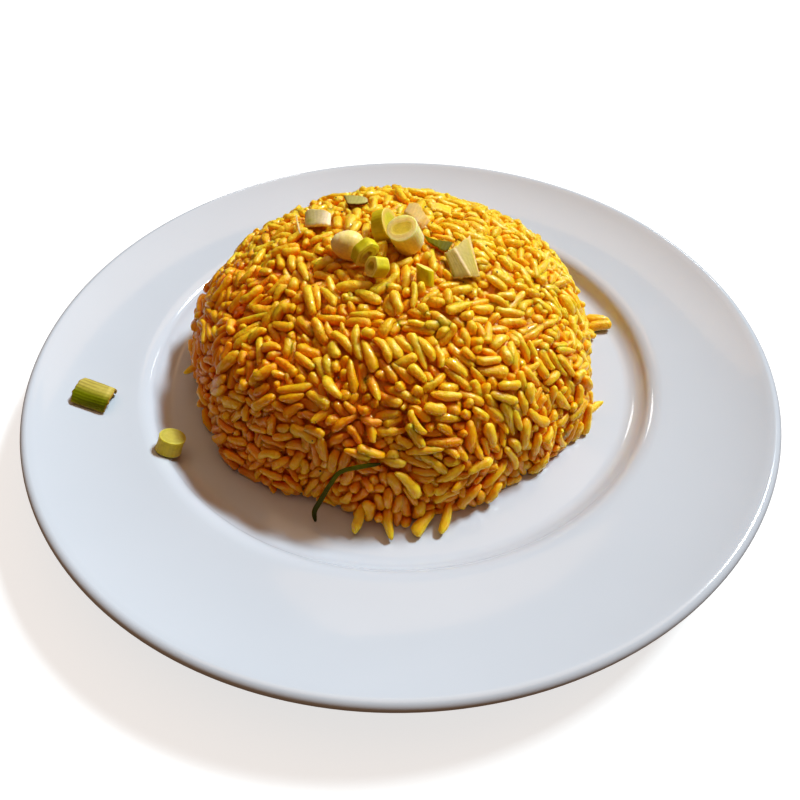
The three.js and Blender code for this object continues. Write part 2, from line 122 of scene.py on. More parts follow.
def facedOut(points, faceSets):
    # turns every face over if the closed shape holds a negative volume: sum of a . (b x c) / 6
    total = 0.0
    for rows in faceSets:
        for k in range(1, rows.shape[1] - 1):
            a, b, c = points[rows[:, 0]], points[rows[:, k]], points[rows[:, k + 1]]
            total += (a * np.cross(b, c)).sum()
    return faceSets if total > 0 else [rows[:, ::-1] for rows in faceSets]


def layTowards(faces, turned=0.0):
    # turned about +Z, then +Z swung the shortest way towards faces, as a 3 by 3 matrix
    lay = Vector((0, 0, 1)).rotation_difference(Vector(faces)) @ Quaternion((0, 0, 1), turned)
    return np.array(lay.to_matrix())


def inLight(shown):
    # display values from 0 to 255 as light: ((c / 255 + 0.055) / 1.055)^2.4
    return ((np.asarray(shown, float) / 255 + 0.055) / 1.055) ** 2.4


def blend(stops, share):
    # rows (share, red, green, blue) of display values, mixed in between
    table = np.array(stops, float)
    return np.stack([np.interp(share, table[:, 0], inLight(table[:, k])) for k in (1, 2, 3)], -1)


# Finishes

def shaderMaterial(name, settings):
    # a Principled material, its even values set on the shader's own sockets
    made = bpy.data.materials.new(name)
    made.use_nodes = True
    shader = made.node_tree.nodes["Principled BSDF"]
    for socket, value in settings.items():
        shader.inputs[socket].default_value = value
    return made, shader


def addNode(made, kind, inputs={}, **settings):
    # a node with its inputs set or, where they come from another node, joined up
    node = made.node_tree.nodes.new(kind)
    for label, value in settings.items():
        setattr(node, label, value)
    for socket, value in inputs.items():
        if isinstance(value, bpy.types.NodeSocket):
            made.node_tree.links.new(value, node.inputs[socket])
        else:
            node.inputs[socket].default_value = value
    return node


def link(made, source, target):
    made.node_tree.links.new(source, target)


def noiseFactor(made, perMetre, detail):
    # noise over Object coordinates, with so many features to the metre
    where = addNode(made, "ShaderNodeTexCoord").outputs["Object"]
    return addNode(made, "ShaderNodeTexNoise", {
        "Vector": where, "Scale": perMetre, "Detail": detail,
    }).outputs["Fac"]


def colourRamp(made, factor, stops):
    # colours in light, mixed in between by the factor
    node = addNode(made, "ShaderNodeValToRGB", {"Fac": factor})
    marks = node.color_ramp.elements
    while len(marks) < len(stops):
        marks.new(0.5)
    for mark, (place, colour) in zip(marks, stops):
        mark.position = place
        mark.color = (*colour, 1)
    return node.outputs["Color"]


def timesColours(made, first, second):
    # first times second, channel by channel
    node = addNode(made, "ShaderNodeMix", data_type="RGBA", blend_type="MULTIPLY")
    node.inputs[0].default_value = 1.0
    link(made, first, node.inputs[6])
    link(made, second, node.inputs[7])
    return node.outputs[2]


def spread(made, factor, low, high):
    # a factor from 0 to 1 laid out between two numbers
    return addNode(made, "ShaderNodeMapRange", {
        "Value": factor, "To Min": low, "To Max": high,
    }).outputs[0]


def bumps(made, noise, strength, depth, under=None):
    # the surface rises with the noise, over the bumps under it if there are any
    inputs = {"Height": noiseFactor(made, *noise), "Strength": strength, "Distance": depth}
    if under is not None:
        inputs["Normal"] = under
    return addNode(made, "ShaderNodeBump", inputs).outputs[0]


# A noise is given by its features to the metre and its detail, bumps by noise, strength and depth
glaze = {
    "shader": {
        "Base Color": (0.545, 0.574, 0.626, 1), "Roughness": 0.1, "IOR": 1.5,
        "Coat Weight": 0.4, "Coat Roughness": 0.04,
    },
    "clouds": (22, 3), "cloudColours": [(0.3, (0.535, 0.564, 0.617)), (0.7, (0.555, 0.583, 0.636))],
    "smears": (160, 4), "smearRoughness": (0.07, 0.14),
    "ripples": ((90, 1), 0.05, 0.0006),
}


def glazeFinish():
    made, shader = shaderMaterial("white_glazed_porcelain", glaze["shader"])
    clouds = colourRamp(made, noiseFactor(made, *glaze["clouds"]), glaze["cloudColours"])
    link(made, clouds, shader.inputs["Base Color"])
    smears = spread(made, noiseFactor(made, *glaze["smears"]), *glaze["smearRoughness"])
    link(made, smears, shader.inputs["Roughness"])
    link(made, bumps(made, *glaze["ripples"]), shader.inputs["Normal"])
    return made


# Translucent grains under a film of oil; red light soaks in deeper than green
oilyRice = {
    "shader": {
        "Roughness": 0.36, "IOR": 1.5, "Specular IOR Level": 0.5, "Specular Tint": (1.0, 0.82, 0.5, 1),
        "Subsurface Weight": 1.0, "Subsurface Scale": 0.003, "Subsurface Radius": (1.0, 0.8, 0.3),
        "Coat Weight": 0.3, "Coat Roughness": 0.08, "Coat IOR": 1.45,
    },
    "tones": [(0.0, (0.82, 0.19, 0.0)), (0.3, (0.97, 0.28, 0.0)), (0.6, (1.0, 0.385, 0.0)),
              (1.0, (1.0, 0.55, 0.02))],
    "stains": (520, 3), "stainColours": [(0.32, (0.98, 0.86, 0.55)), (0.66, (1.0, 1.07, 1.0))],
    "oil": (900, 2), "oilRoughness": (0.2, 0.55),
    "dents": ((560, 3), 0.8, 0.0007), "grit": ((2100, 3), 0.7, 0.00025),
}


def riceFinish():
    made, shader = shaderMaterial("oily_yellow_rice", oilyRice["shader"])
    tone = addNode(made, "ShaderNodeAttribute", attribute_name="tone").outputs["Fac"]
    body = colourRamp(made, tone, oilyRice["tones"])
    stains = colourRamp(made, noiseFactor(made, *oilyRice["stains"]), oilyRice["stainColours"])
    link(made, timesColours(made, body, stains), shader.inputs["Base Color"])
    oil = spread(made, noiseFactor(made, *oilyRice["oil"]), *oilyRice["oilRoughness"])
    link(made, oil, shader.inputs["Roughness"])
    dents = bumps(made, *oilyRice["dents"])
    link(made, bumps(made, *oilyRice["grit"], under=dents), shader.inputs["Normal"])
    return made


# Each onion finish: its material's name, the wetness of its coat, how much light soaks in, sheen
onionFinishes = {
    "onion_pale": ("moist_pale_onion", 0.1, 0.9, 0.35),
    "onion_green": ("moist_green_onion", 0.1, 0.6, 0.3),
    "onion_leaf": ("satin_onion_leaf", 0.0, 0.1, 0.06),
}
moistOnion = {
    "shader": {
        "Roughness": 0.5, "IOR": 1.4, "Subsurface Scale": 0.002, "Subsurface Radius": (0.8, 0.9, 0.3),
        "Coat Roughness": 0.2,
    },
    "flecks": (900, 4), "fleckColours": [(0.32, (0.86, 0.86, 0.8)), (0.62, (1.0, 1.0, 1.0))],
    "fibres": ((1700, 3), 0.2, 0.0003),
}


def onionFinish(name, wetness, soaking, sheen):
    # the piece's own tint, with flecks and fine fibres
    own = {"Coat Weight": wetness, "Subsurface Weight": soaking, "Specular IOR Level": sheen}
    made, shader = shaderMaterial(name, {**moistOnion["shader"], **own})
    tint = addNode(made, "ShaderNodeAttribute", attribute_name="tint").outputs["Color"]
    flecks = colourRamp(made, noiseFactor(made, *moistOnion["flecks"]), moistOnion["fleckColours"])
    link(made, timesColours(made, tint, flecks), shader.inputs["Base Color"])
    link(made, bumps(made, *moistOnion["fibres"]), shader.inputs["Normal"])
    return made


# Plate

plate = {
    "radius": 115, "height": 19.5, "lip": 1.8, "floor": 6, "wellEdge": (73.8, 6), "filletPull": (77.4, 6),
    "wall": (79.9, 9.6), "shoulderPull": (81, 11.8), "shoulder": (84.6, 12.4), "rimPull": (101.6, 14.2),
    "underRimPull": (103.4, 11.2), "underShoulder": (86.4, 8.8), "underWallPull": (77.4, 2.9),
    "recess": 2.2, "footOuter": 66.4, "footInner": 61.2, "footEdge": 0.7, "sides": 240, "curveSteps": 14,
    "lipTurns": (-0.5, 0.6), "lipSteps": 20, "underRings": (0, 20, 40), "floorRings": (60, 45, 30, 15, 0),
}


def plateProfile():
    # from the middle of the underside over the foot, wall and lip, and back to the well
    p = plate
    lipRadius, lipHeight = p["radius"] - p["lip"], p["height"] - p["lip"]
    recess, edge, outer, inner = p["recess"], p["footEdge"], p["footOuter"], p["footInner"]
    under = np.array([(r, recess) for r in p["underRings"]] + [
        (inner - edge, recess), (inner, edge), (inner + edge, 0),
        (outer - edge, 0), (outer, edge), (outer + edge, recess + edge),
    ], float)
    turn = np.linspace(p["lipTurns"][0] * pi, p["lipTurns"][1] * pi, p["lipSteps"])[:, None]
    lip = np.array([lipRadius, lipHeight]) + p["lip"] * np.hstack([np.cos(turn), np.sin(turn)])
    steps = p["curveSteps"]
    floor = np.array([(r, p["floor"]) for r in p["floorRings"]], float)
    return np.concatenate([
        under,
        curveThrough(under[-1], p["underWallPull"], p["underShoulder"], steps),
        curveThrough(p["underShoulder"], p["underRimPull"], lip[0], steps)[:-1],
        lip,
        curveThrough(lip[-1], p["rimPull"], p["shoulder"], steps),
        curveThrough(p["shoulder"], p["shoulderPull"], p["wall"], steps),
        curveThrough(p["wall"], p["filletPull"], p["wellEdge"], steps),
        floor,
    ])


def makePlate():
    points, faces = turnedShell(plateProfile(), plate["sides"])
    return served(toMesh("porcelain_plate", points, faces, glazeFinish()), "porcelain", "plate")


# Shape of the heap

heap = {
    "x": -2.3, "y": 3.2, "radius": 65.7, "base": 6.3, "rise": 48.4, "power": 1.93,
    "lobes": 7, "lobeDepth": 2.2, "lobeTurn": 0.56,
    "swell": 0.55, "swells": [(1.0, (4.1, 1.3), (3.7, -2.4)), (0.6, (8.3, -2.1), (7.9, 1.1))],
    "lump": 1.3, "lumpAcross": (13, 4, -0.9), "lumpAlong": (15, -3, 0.5), "lumpFade": 8,
    "shoulder": 2.4, "shoulderTurn": -115, "shoulderTaper": 3, "shoulderShare": 0.6, "shoulderReach": 0.17,
}
heapMiddle = np.array([heap["x"], heap["y"], heap["base"]])
heapReach = np.array([heap["radius"], heap["radius"], heap["rise"]])


def swellAt(way):
    # the dome's unevenness towards way (x, y, z): swells sin(a x + b) sin(c y + d), smaller lumps
    # of the same kind that fade at the top, and one shoulder cos^3(turn) exp(-((z - share) / reach)^2)
    h = heap
    x, y, z = (way[..., k] for k in range(3))
    swells = sum(
        share * np.sin(across[0] * x + across[1]) * np.sin(along[0] * y + along[1])
        for share, across, along in h["swells"]
    )
    wave = [a * side + b * z + c for side, (a, b, c) in ((x, h["lumpAcross"]), (y, h["lumpAlong"]))]
    lumps = np.sin(wave[0]) * np.sin(wave[1]) * (1 - np.clip(z, 0, 1) ** h["lumpFade"])
    turn = radians(h["shoulderTurn"])
    facing = np.maximum(x * np.cos(turn) + y * np.sin(turn), 0) / np.maximum(np.hypot(x, y), 0.01)
    shoulder = facing ** h["shoulderTaper"] * np.exp(-((z - h["shoulderShare"]) / h["shoulderReach"]) ** 2)
    return h["swell"] * swells + h["lump"] * lumps + h["shoulder"] * shoulder


def lobedRadius(turn, share):
    # the foot's radius, waved by the lobes, which fade towards the top
    wave = np.cos(heap["lobes"] * (turn + heap["lobeTurn"]))
    return heap["radius"] + heap["lobeDepth"] * (1 - share) ** 2 * wave


def wayAt(turn, share):
    # the way out at a turn about +Z and a height z: z up and sqrt(1 - z^2) sideways
    flat = np.sqrt(np.maximum(0, 1 - share ** 2))
    return np.stack([flat * np.cos(turn), flat * np.sin(turn), share + 0 * turn], -1)


def heapPoint(way, lift):
    # the dome's point towards way: foot radius times (1 - z^2)^(1 / power), raised along the normal
    turn = np.arctan2(way[..., 1], way[..., 0])
    z = np.clip(way[..., 2], 0, 1)
    reach = lobedRadius(turn, z) * np.maximum(0, 1 - z ** 2) ** (1 / heap["power"])
    point = np.stack([
        heap["x"] + reach * np.cos(turn), heap["y"] + reach * np.sin(turn), heap["base"] + heap["rise"] * z,
    ], -1)
    normal = unit(way / heapReach)
    return point + normal * (np.asarray(lift) + swellAt(way))[..., None]


def overDome(points):
    # height over the dome and the way out of it: f = (r / R)^power + z^2 - 1, over its own slope
    dx, dy = points[:, 0] - heap["x"], points[:, 1] - heap["y"]
    z = np.maximum((points[:, 2] - heap["base"]) / heap["rise"], 0)
    turn, rho = np.arctan2(dy, dx), np.hypot(dx, dy)
    reach = lobedRadius(turn, np.minimum(z, 1))
    share = np.maximum(rho / reach, 1e-6)
    slope = heap["power"] / reach * share ** (heap["power"] - 1)
    rise = 2 * z / heap["rise"]
    steep = np.hypot(slope, rise)
    outward = np.stack([slope * np.cos(turn), slope * np.sin(turn), rise], -1) / steep[:, None]
    way = unit(np.stack([dx / heap["radius"], dy / heap["radius"], z], -1))
    return (share ** heap["power"] + z ** 2 - 1) / steep - swellAt(way), outward


# How the grains lie

grains = {
    "layers": [(-0.2, 1650), (-1.7, 1350)],     # lift of the middles, and how many
    "scatter": 0.35, "stray": 0.022,            # how far they stray from it, and along the dome
    "length": (5.0, 10.0), "lengthMean": 7.6, "lengthSpread": 1.2, "radius": (1.0, 1.36), "plump": 1.16,
    "shortShare": 0.09, "shortened": (0.45, 0.7),
    "top": (-0.5, 1.8), "topMean": 0.7, "topSpread": 0.6,     # how far a grain stands over the dome
    "wander": 0.45, "lean": 0.32, "standing": 0.3,
    "guideLift": -0.15, "guideStray": 0.1, "guideEase": 0.12, "slippedLength": 9.0,
}

# How the lie of the grains flows over the dome, between the guides
flow = {
    "reach": 10.0, "drift": 0.12, "twist": (2.6, 2.4, 2.2), "wave": (3.1, 2.9), "shift": (0.8, -1.9),
    "climb": 0.9, "climbWave": 1.7,
}

# How rods of beads settle: overlaps push and turn them, ceilings press, each keeps some of its own lie
settling = {
    "steps": 140, "beads": 5, "inset": 0.8, "toppingBead": 0.75, "deepest": -3.4,
    "lookEvery": 6, "lookMargin": 0.7, "press": 0.6, "sink": 0.012, "shift": 2.0, "swing": 1.3, "keep": 0.015,
}

# Grains that stand out: turn about the heap, share of its height, heading up from level, length
guideGrains = [
    (-47, 0.83, 161, 7.2), (-35, 0.78, 133, 9.0), (-47, 0.80, 150, 8.0), (-38, 0.74, 133, 9.4),
    (-49, 0.77, 151, 10.2), (-59, 0.86, 166, 8.8), (-50, 0.90, 154, 7.4), (-43, 0.67, 84, 10.4),
    (-76, 0.84, 151, 8.4), (-63, 0.73, 110, 9.4), (-74, 0.74, 130, 9.6), (-82, 0.77, 100, 10.6),
    (-88, 0.78, 112, 7.4), (-29, 0.86, 92, 7.2), (17, 0.91, 33, 8.2), (7, 0.955, 72, 9.2),
    (-52, 0.72, 149, 7.0), (-116, 0.85, 20, 8.4), (-100, 0.87, 179, 9.8), (-123, 0.80, 10, 8.2),
    (-149, 0.72, 68, 10.4), (-146, 0.66, 75, 9.8), (-136, 0.67, 146, 9.0), (-145, 0.57, 74, 10.4),
    (-130, 0.86, 137, 10.0), (-102, 0.80, 129, 10.2), (-158, 0.56, 2, 10.4), (-164, 0.49, 174, 10.4),
    (-101, 0.91, 148, 8.2), (-96, 0.93, 55, 7.4), (-89, 0.90, 71, 7.6), (-118, 0.62, 21, 9.8),
    (-109, 0.61, 152, 7.4), (-131, 0.49, 15, 7.4), (-125, 0.41, 36, 7.2), (-112, 0.49, 172, 8.2),
    (-133, 0.21, 28, 7.4), (-97, 0.12, 106, 7.2), (-91, 0.26, 129, 7.0), (-102, 0.25, 63, 7.0),
    (-86, 0.66, 178, 10.6), (-70, 0.65, 139, 9.0), (-66, 0.69, 124, 9.4), (-66, 0.55, 88, 8.0),
    (-67, 0.43, 94, 7.6), (-62, 0.49, 78, 10.4), (-57.5, 0.48, 86, 10.6), (-74, 0.56, 142, 7.4),
    (-82, 0.59, 120, 7.0), (-86, 0.47, 145, 8.2), (-81, 0.44, 119, 8.0), (-70, 0.30, 8, 7.4),
    (-67, 0.20, 12, 10.4), (-78, 0.20, 12, 7.6), (-45, 0.52, 138, 8.8), (-55, 0.35, 98, 10.0),
    (-42, 0.24, 68, 8.8),
]

# Grains that have slipped to the foot of the heap, from root to tip
slippedGrains = [
    ((-3.9, -62.6, 11.6), (-2.9, -69.8, 7.4)), ((8.6, -62.3, 9.4), (3.4, -68.3, 7.5)),
    ((12.8, -61.6, 10.6), (10.6, -67.6, 7.6)), ((-10.2, -61.8, 12.4), (-12.6, -67.4, 7.6)),
    ((56.4, -29.5, 10.5), (61.8, -25.4, 10.2)), ((-61.8, -9.6, 16.5), (-68.2, -12.8, 13.8)),
]


def alongDome(turn, heading, outward):
    # level direction round the heap turned up the slope by heading
    level = np.stack([-np.sin(turn), np.cos(turn), 0 * turn], -1)
    uphill = np.cross(outward, level)
    return np.cos(heading)[:, None] * level + np.sin(heading)[:, None] * uphill


spiral = {"lowest": 0.03, "steps": 600}


def spiralWays(count, jitter):
    # golden-angle spiral whose heights are spaced by the dome's own area
    z = np.linspace(spiral["lowest"], 1, spiral["steps"])
    area = np.sqrt((heap["radius"] * z) ** 2 + heap["rise"] ** 2 * (1 - z ** 2))
    filled = np.concatenate([[0], np.cumsum(0.5 * (area[1:] + area[:-1]) * np.diff(z))])
    share = np.interp((np.arange(count) + 0.5) / count, filled / filled[-1], z)
    ways = wayAt(golden * np.arange(count) + luck.uniform(0, 2 * pi), share)
    ways = unit(ways + luck.normal(0, jitter, ways.shape))
    ways[:, 2] = np.abs(ways[:, 2])
    return ways


def lieField(points, outward, guideMiddles, guideLies):
    # lie of the nearest guides, weighted by exp(-(d / reach)^2), over a slow drift of its own:
    # both add up as d d^T, and the strongest axis of the sum is taken
    x, y, z = ((points - heapMiddle) / heap["radius"]).T
    twist, wave, shift = flow["twist"], flow["wave"], flow["shift"]
    angle = twist[0] * np.sin(wave[0] * x + shift[0]) + twist[1] * np.cos(wave[1] * y + shift[1])
    angle = angle + twist[2] * z
    climb = flow["climb"] * np.sin(flow["climbWave"] * angle)
    drift = np.stack([np.cos(angle), np.sin(angle), climb], -1)
    drift = unit(drift - (drift * outward).sum(-1, keepdims=True) * outward)
    away = np.linalg.norm(points[:, None] - guideMiddles[None], axis=-1)
    weight = np.exp(-(away / flow["reach"]) ** 2)
    total = np.einsum("nk,ki,kj->nij", weight, guideLies, guideLies)
    total += flow["drift"] * np.einsum("ni,nj->nij", drift, drift)
    return np.linalg.eigh(total)[1][:, :, 2]


def closePairs(places, reach):
    # pairs of points nearer than reach: sorted cells of that size, each held against 13 neighbours
    cell = np.floor((places - places.min(0)) / reach).astype(np.int64) + 1
    wide = cell.max(0) + 2
    key = (cell[:, 0] * wide[1] + cell[:, 1]) * wide[2] + cell[:, 2]
    order = np.argsort(key, kind="stable")
    ordered = key[order]
    found = []
    for dx, dy, dz in [(0, 0, 0), (0, 0, 1), (0, 1, -1), (0, 1, 0), (0, 1, 1), (1, -1, -1), (1, -1, 0),
                       (1, -1, 1), (1, 0, -1), (1, 0, 0), (1, 0, 1), (1, 1, -1), (1, 1, 0), (1, 1, 1)]:
        other = ordered + (dx * wide[1] + dy) * wide[2] + dz
        first = np.searchsorted(ordered, other, "left")
        beyond = np.searchsorted(ordered, other, "right")
        if (dx, dy, dz) == (0, 0, 0):
            first = np.arange(len(key)) + 1
        for step in range(int((beyond - first).max())):
            near = np.flatnonzero(first + step < beyond)
            found.append(np.stack([order[near], order[first[near] + step]], -1))
    pairs = np.concatenate(found)
    apart = np.linalg.norm(places[pairs[:, 0]] - places[pairs[:, 1]], axis=1)
    return pairs[apart < reach]


def toppingBeads():
    # fixed beads over every packed topping, so that grains keep off them
    middles = []
    for name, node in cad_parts.items():
        if name.startswith("onion"):
            own = np.empty(len(node.data.vertices) * 3, np.float32)
            node.data.vertices.foreach_get("co", own)
            own = np.unique((own.reshape(-1, 3) / mm).round(2), axis=0)
            centre = own.mean(0)
            middles.append(np.concatenate([own, centre + 0.5 * (own - centre), [centre]]))
    return np.concatenate(middles)


def settleGrains(g, fixedBeads):
    # rods of beads push each other apart, stay under their own ceiling and over the plate,
    # and sink a little; each rod takes the mean push of its beads and turns by their torque
    s = settling
    count, beads = len(g["middle"]), s["beads"]
    share = np.linspace(-1, 1, beads)
    owner = np.repeat(np.arange(count), beads)
    ballast = len(fixedBeads)
    radius = np.concatenate([np.repeat(g["radius"], beads), np.full(ballast, s["toppingBead"])])
    ease = np.concatenate([np.repeat(g["ease"], beads), np.zeros(ballast)])
    half = (g["length"] / 2 - g["radius"] * s["inset"])[:, None, None]
    wanted = g["lie"].copy()
    for step in range(s["steps"]):
        arms = share[None, :, None] * half * g["lie"][:, None, :]
        places = np.concatenate([(g["middle"][:, None, :] + arms).reshape(-1, 3), fixedBeads])
        if step % s["lookEvery"] == 0:
            pairs = closePairs(places, 2 * g["radius"].max() + s["lookMargin"])
            ownerAll = np.concatenate([owner, np.full(ballast, -1)])
            pairs = pairs[ownerAll[pairs[:, 0]] != ownerAll[pairs[:, 1]]]
        i, j = pairs.T
        apart = places[i] - places[j]
        distance = np.maximum(np.linalg.norm(apart, axis=1), 1e-6)
        overlap = np.maximum(radius[i] + radius[j] - distance, 0) / distance
        push = apart * (overlap / np.maximum(ease[i] + ease[j], 1e-6))[:, None]
        pushed, pushedBack = (
            [np.bincount(end, ease[end] * push[:, k], len(places)) for k in range(3)] for end in (i, j)
        )
        moved = (np.stack(pushed, -1) - np.stack(pushedBack, -1))[:count * beads]
        own = places[:count * beads]
        height, outward = overDome(own)
        over = np.maximum(height + np.repeat(g["radius"] - g["ceiling"], beads), 0)
        below = np.maximum(s["deepest"] - height, 0)
        moved += outward * (s["press"] * (below - over) * np.repeat(g["ease"], beads))[:, None]
        moved[:, 2] += np.maximum(plate["floor"] + np.repeat(g["radius"], beads) - own[:, 2], 0)
        moved = moved.reshape(count, beads, 3)
        sink = s["sink"] * g["ease"][:, None] * outward.reshape(count, beads, 3)[:, beads // 2]
        g["middle"] = g["middle"] + s["shift"] * moved.mean(1) - sink
        torque = np.cross(arms, moved).sum(1) / np.maximum((arms ** 2).sum((1, 2)), 0.1)[:, None]
        turned = g["lie"] + s["swing"] * np.cross(torque, g["lie"])
        g["lie"] = unit(turned + s["keep"] * g["ease"][:, None] * wanted)
    return g


def layGrains():
    # guide and slipped grains first, held almost still, then the layers of loose ones
    turn, share, heading, length = (np.array(column, float) for column in zip(*guideGrains))
    turn, heading = np.radians(turn), np.radians(heading)
    ways = wayAt(turn, share)
    guideMiddles = heapPoint(ways, np.full(len(ways), grains["guideLift"]))
    outward = overDome(guideMiddles)[1]
    guideStray = luck.normal(0, grains["guideStray"], (len(ways), 3))
    guideLies = unit(alongDome(turn, heading, outward) + guideStray)
    ends = np.array(slippedGrains, float)
    middles = [guideMiddles, ends.mean(1)]
    lies = [guideLies, unit(ends[:, 1] - ends[:, 0])]
    lengths = [length, np.full(len(ends), grains["slippedLength"])]
    eases = [np.full(len(ways), grains["guideEase"]), np.zeros(len(ends))]
    for lift, count in grains["layers"]:
        ways = spiralWays(count, grains["stray"])
        points = heapPoint(ways, luck.normal(lift, grains["scatter"], count))
        outward = overDome(points)[1]
        way = lieField(points, outward, guideMiddles, guideLies)
        way += luck.normal(0, grains["wander"], way.shape)
        standing = luck.normal(0, grains["lean"], count) + (luck.random(count) < grains["standing"])
        drawn = luck.normal(grains["lengthMean"], grains["lengthSpread"], count)
        middles.append(points)
        lies.append(unit(unit(way) + standing[:, None] * outward))
        lengths.append(np.clip(drawn, *grains["length"]))
        eases.append(np.ones(count))
    middle, lie = np.concatenate(middles), np.concatenate(lies)
    length, ease = np.concatenate(lengths), np.concatenate(eases)
    count = len(middle)
    short = (luck.random(count) < grains["shortShare"]) & (ease == 1)
    length[short] *= luck.uniform(*grains["shortened"], short.sum())
    return {
        "middle": middle, "lie": lie, "length": length, "ease": ease, "short": short,
        "radius": luck.uniform(*grains["radius"], count),
        "ceiling": np.clip(luck.normal(grains["topMean"], grains["topSpread"], count), *grains["top"]),
    }


# Grains as meshes

grainShape = {
    "rings": [-0.97, -0.84, -0.5, 0.0, 0.5, 0.84, 0.97], "sides": 8,
    "blunt": (2.0, 6.0), "bend": 1.0, "bendShift": 0.4, "taper": 0.2, "kink": 0.1,
    "lumps": ((0.09, 3.1), (0.06, 6.3)), "flats": (0.12, 0.07),
}


def grainPoints(middle, lie, length, radius, chance):
    # rings along each grain: radius (1 - |u|^blunt)^(1/2), each end with its own bluntness, times
    # lumps sin(a u) and flats cos(2 turn), cos(3 turn); its middle line is bent by u^2 and kinked
    count = len(middle)
    s = grainShape
    u = np.array(s["rings"])
    turn = 2 * pi * np.arange(s["sides"]) / s["sides"]
    side = unit(np.cross(lie, unit(chance.normal(size=(count, 3)))))
    other = np.cross(lie, side)
    bend, taper, first, second = (
        chance.uniform(-reach, reach, (count, 1)) for reach in (s["bend"], s["taper"], pi, pi)
    )
    ends = chance.uniform(*s["blunt"], (2, count, 1))
    blunt = np.where(u < 0, ends[0], ends[1])
    (broad, broadWave), (fine, fineWave) = s["lumps"]
    lump = 1 + broad * np.sin(first + broadWave * u) + fine * np.sin(second + fineWave * u)
    thick = radius[:, None] * (1 - np.abs(u) ** blunt) ** 0.5 * (1 + taper * u) * lump
    angle = turn + 0 * u[:, None]
    twice, thrice = 2 * angle + (first + u)[..., None], 3 * angle + (second - u)[..., None]
    thick = thick[..., None] * (1 + s["flats"][0] * np.cos(twice) + s["flats"][1] * np.cos(thrice))
    kink = chance.normal(0, s["kink"], (2, count, len(u)))
    line = middle[:, None] + (length[:, None] / 2 * u)[..., None] * lie[:, None]
    bent = bend * (s["bendShift"] - u ** 2) + kink[0]
    line = line + bent[..., None] * side[:, None] + kink[1][..., None] * other[:, None]
    wide, deep = thick * np.cos(turn), thick * np.sin(turn)
    rings = line[:, :, None] + wide[..., None] * side[:, None, None] + deep[..., None] * other[:, None, None]
    tips = line[:, [0, -1]] + (length / 2 * (1 - u[-1]))[:, None, None] * np.array([[-1], [1]]) * lie[:, None]
    return np.concatenate([tips[:, :1], rings.reshape(count, -1, 3), tips[:, 1:]], axis=1)


# Tone from 0, amber, to 1, yellow. Painted light and shade: browner at the shaded front left foot, lighter at
# the back right top, which faces the window light; painted shade also browns the hollows between grains
riceTone = {
    "grain": 0.5, "grainSpread": 0.08, "guide": 0.12, "core": 0.4, "fallen": 0.95,
    "paintedLight": 0.52, "paintedLightWay": (0.55, 0.45, 0.7), "paintedLightFrom": 0.15, "raised": 0.3, "raisedFrom": 0.3,
    "patch": 0.08, "patchReach": (65, 65, 48), "patchWave": (5.1, 4.3, 6.2), "patchShift": (2.0, -0.7, 1.1),
}


def grainMesh(name, g, chosen, tone, material, seed):
    # all chosen grains as one mesh, with painted light and shade: lighter where they stand out of the dome,
    # browner in the hollows below it
    chance = np.random.default_rng(seed)
    middle, lie, length, radius = (g[key][chosen] for key in ("middle", "lie", "length", "radius"))
    points = grainPoints(middle, lie, length, radius * grains["plump"], chance)
    count, each = points.shape[:2]
    offset = (each * np.arange(count))[:, None, None]
    faces = [(rows + offset).reshape(-1, rows.shape[1])
             for rows in shellFaces(len(grainShape["rings"]), grainShape["sides"])]
    points = points.reshape(-1, 3)
    # painted shade in the hollows: the tone falls where a grain sinks below the dome and rises where it
    # stands out
    raised = riceTone["raised"] * (overDome(points)[0] - riceTone["raisedFrom"])
    values = {"tone": np.clip(np.repeat(tone[chosen], each) + raised, 0, 1)}
    return toMesh(name, points, faces, material, values=values)


def paintedLightTone(points):
    # painted light and shade: lighter by how far the way out of the heap leans towards the window light,
    # browner away from it
    way = unit((points - heapMiddle) / heapReach)
    return riceTone["paintedLight"] * (way @ unit(np.array(riceTone["paintedLightWay"])) - riceTone["paintedLightFrom"])


def grainTones(g):
    # a spread about the mean, patches sin(ax + b) sin(cy + d) sin(ez + f), and the painted light and shade by
    # the heap's side
    t = riceTone
    way = unit((g["middle"] - heapMiddle) / t["patchReach"])
    waves = [np.sin(t["patchWave"][k] * way[:, k] + t["patchShift"][k]) for k in range(3)]
    drawn = luck.normal(t["grain"], t["grainSpread"], len(way))
    tone = np.clip(drawn + t["patch"] * (waves[0] * waves[1] * waves[2]) + paintedLightTone(g["middle"]), 0, 1)
    tone[g["ease"] == grains["guideEase"]] += t["guide"]
    return tone


# Names of the heap's meshes: whole grains are dealt out between the first three
grainKinds = ["rice_grains_long", "rice_grains_plump", "rice_grains_bent"]
grainSeeds = {"whole": 60, "broken": 70, "fallen": 30}


def makeRice():
    g = settleGrains(layGrains(), toppingBeads())
    print("rice settled:", len(g["middle"]), "grains")
    material = riceFinish()
    tone = grainTones(g)
    kind = luck.integers(0, len(grainKinds), len(tone))
    pieces = []
    for k, name in enumerate(grainKinds):
        chosen = ~g["short"] & (kind == k)
        pieces.append(grainMesh(name, g, chosen, tone, material, grainSeeds["whole"] + k))
    pieces.append(grainMesh("rice_grains_broken", g, g["short"], tone, material, grainSeeds["broken"]))
    pieces.append(makeCore(material))
    for piece in pieces:
        served(piece, "rice", "rice_heap")
    return g, material


core = {
    "rows": 110, "sides": 300, "lift": -1.9, "topLift": -0.9, "risingLift": 1.0,
    "broad": (0.4, 31, 2, 29), "fine": (0.6, 74, 3, 78, 1, 66),
}


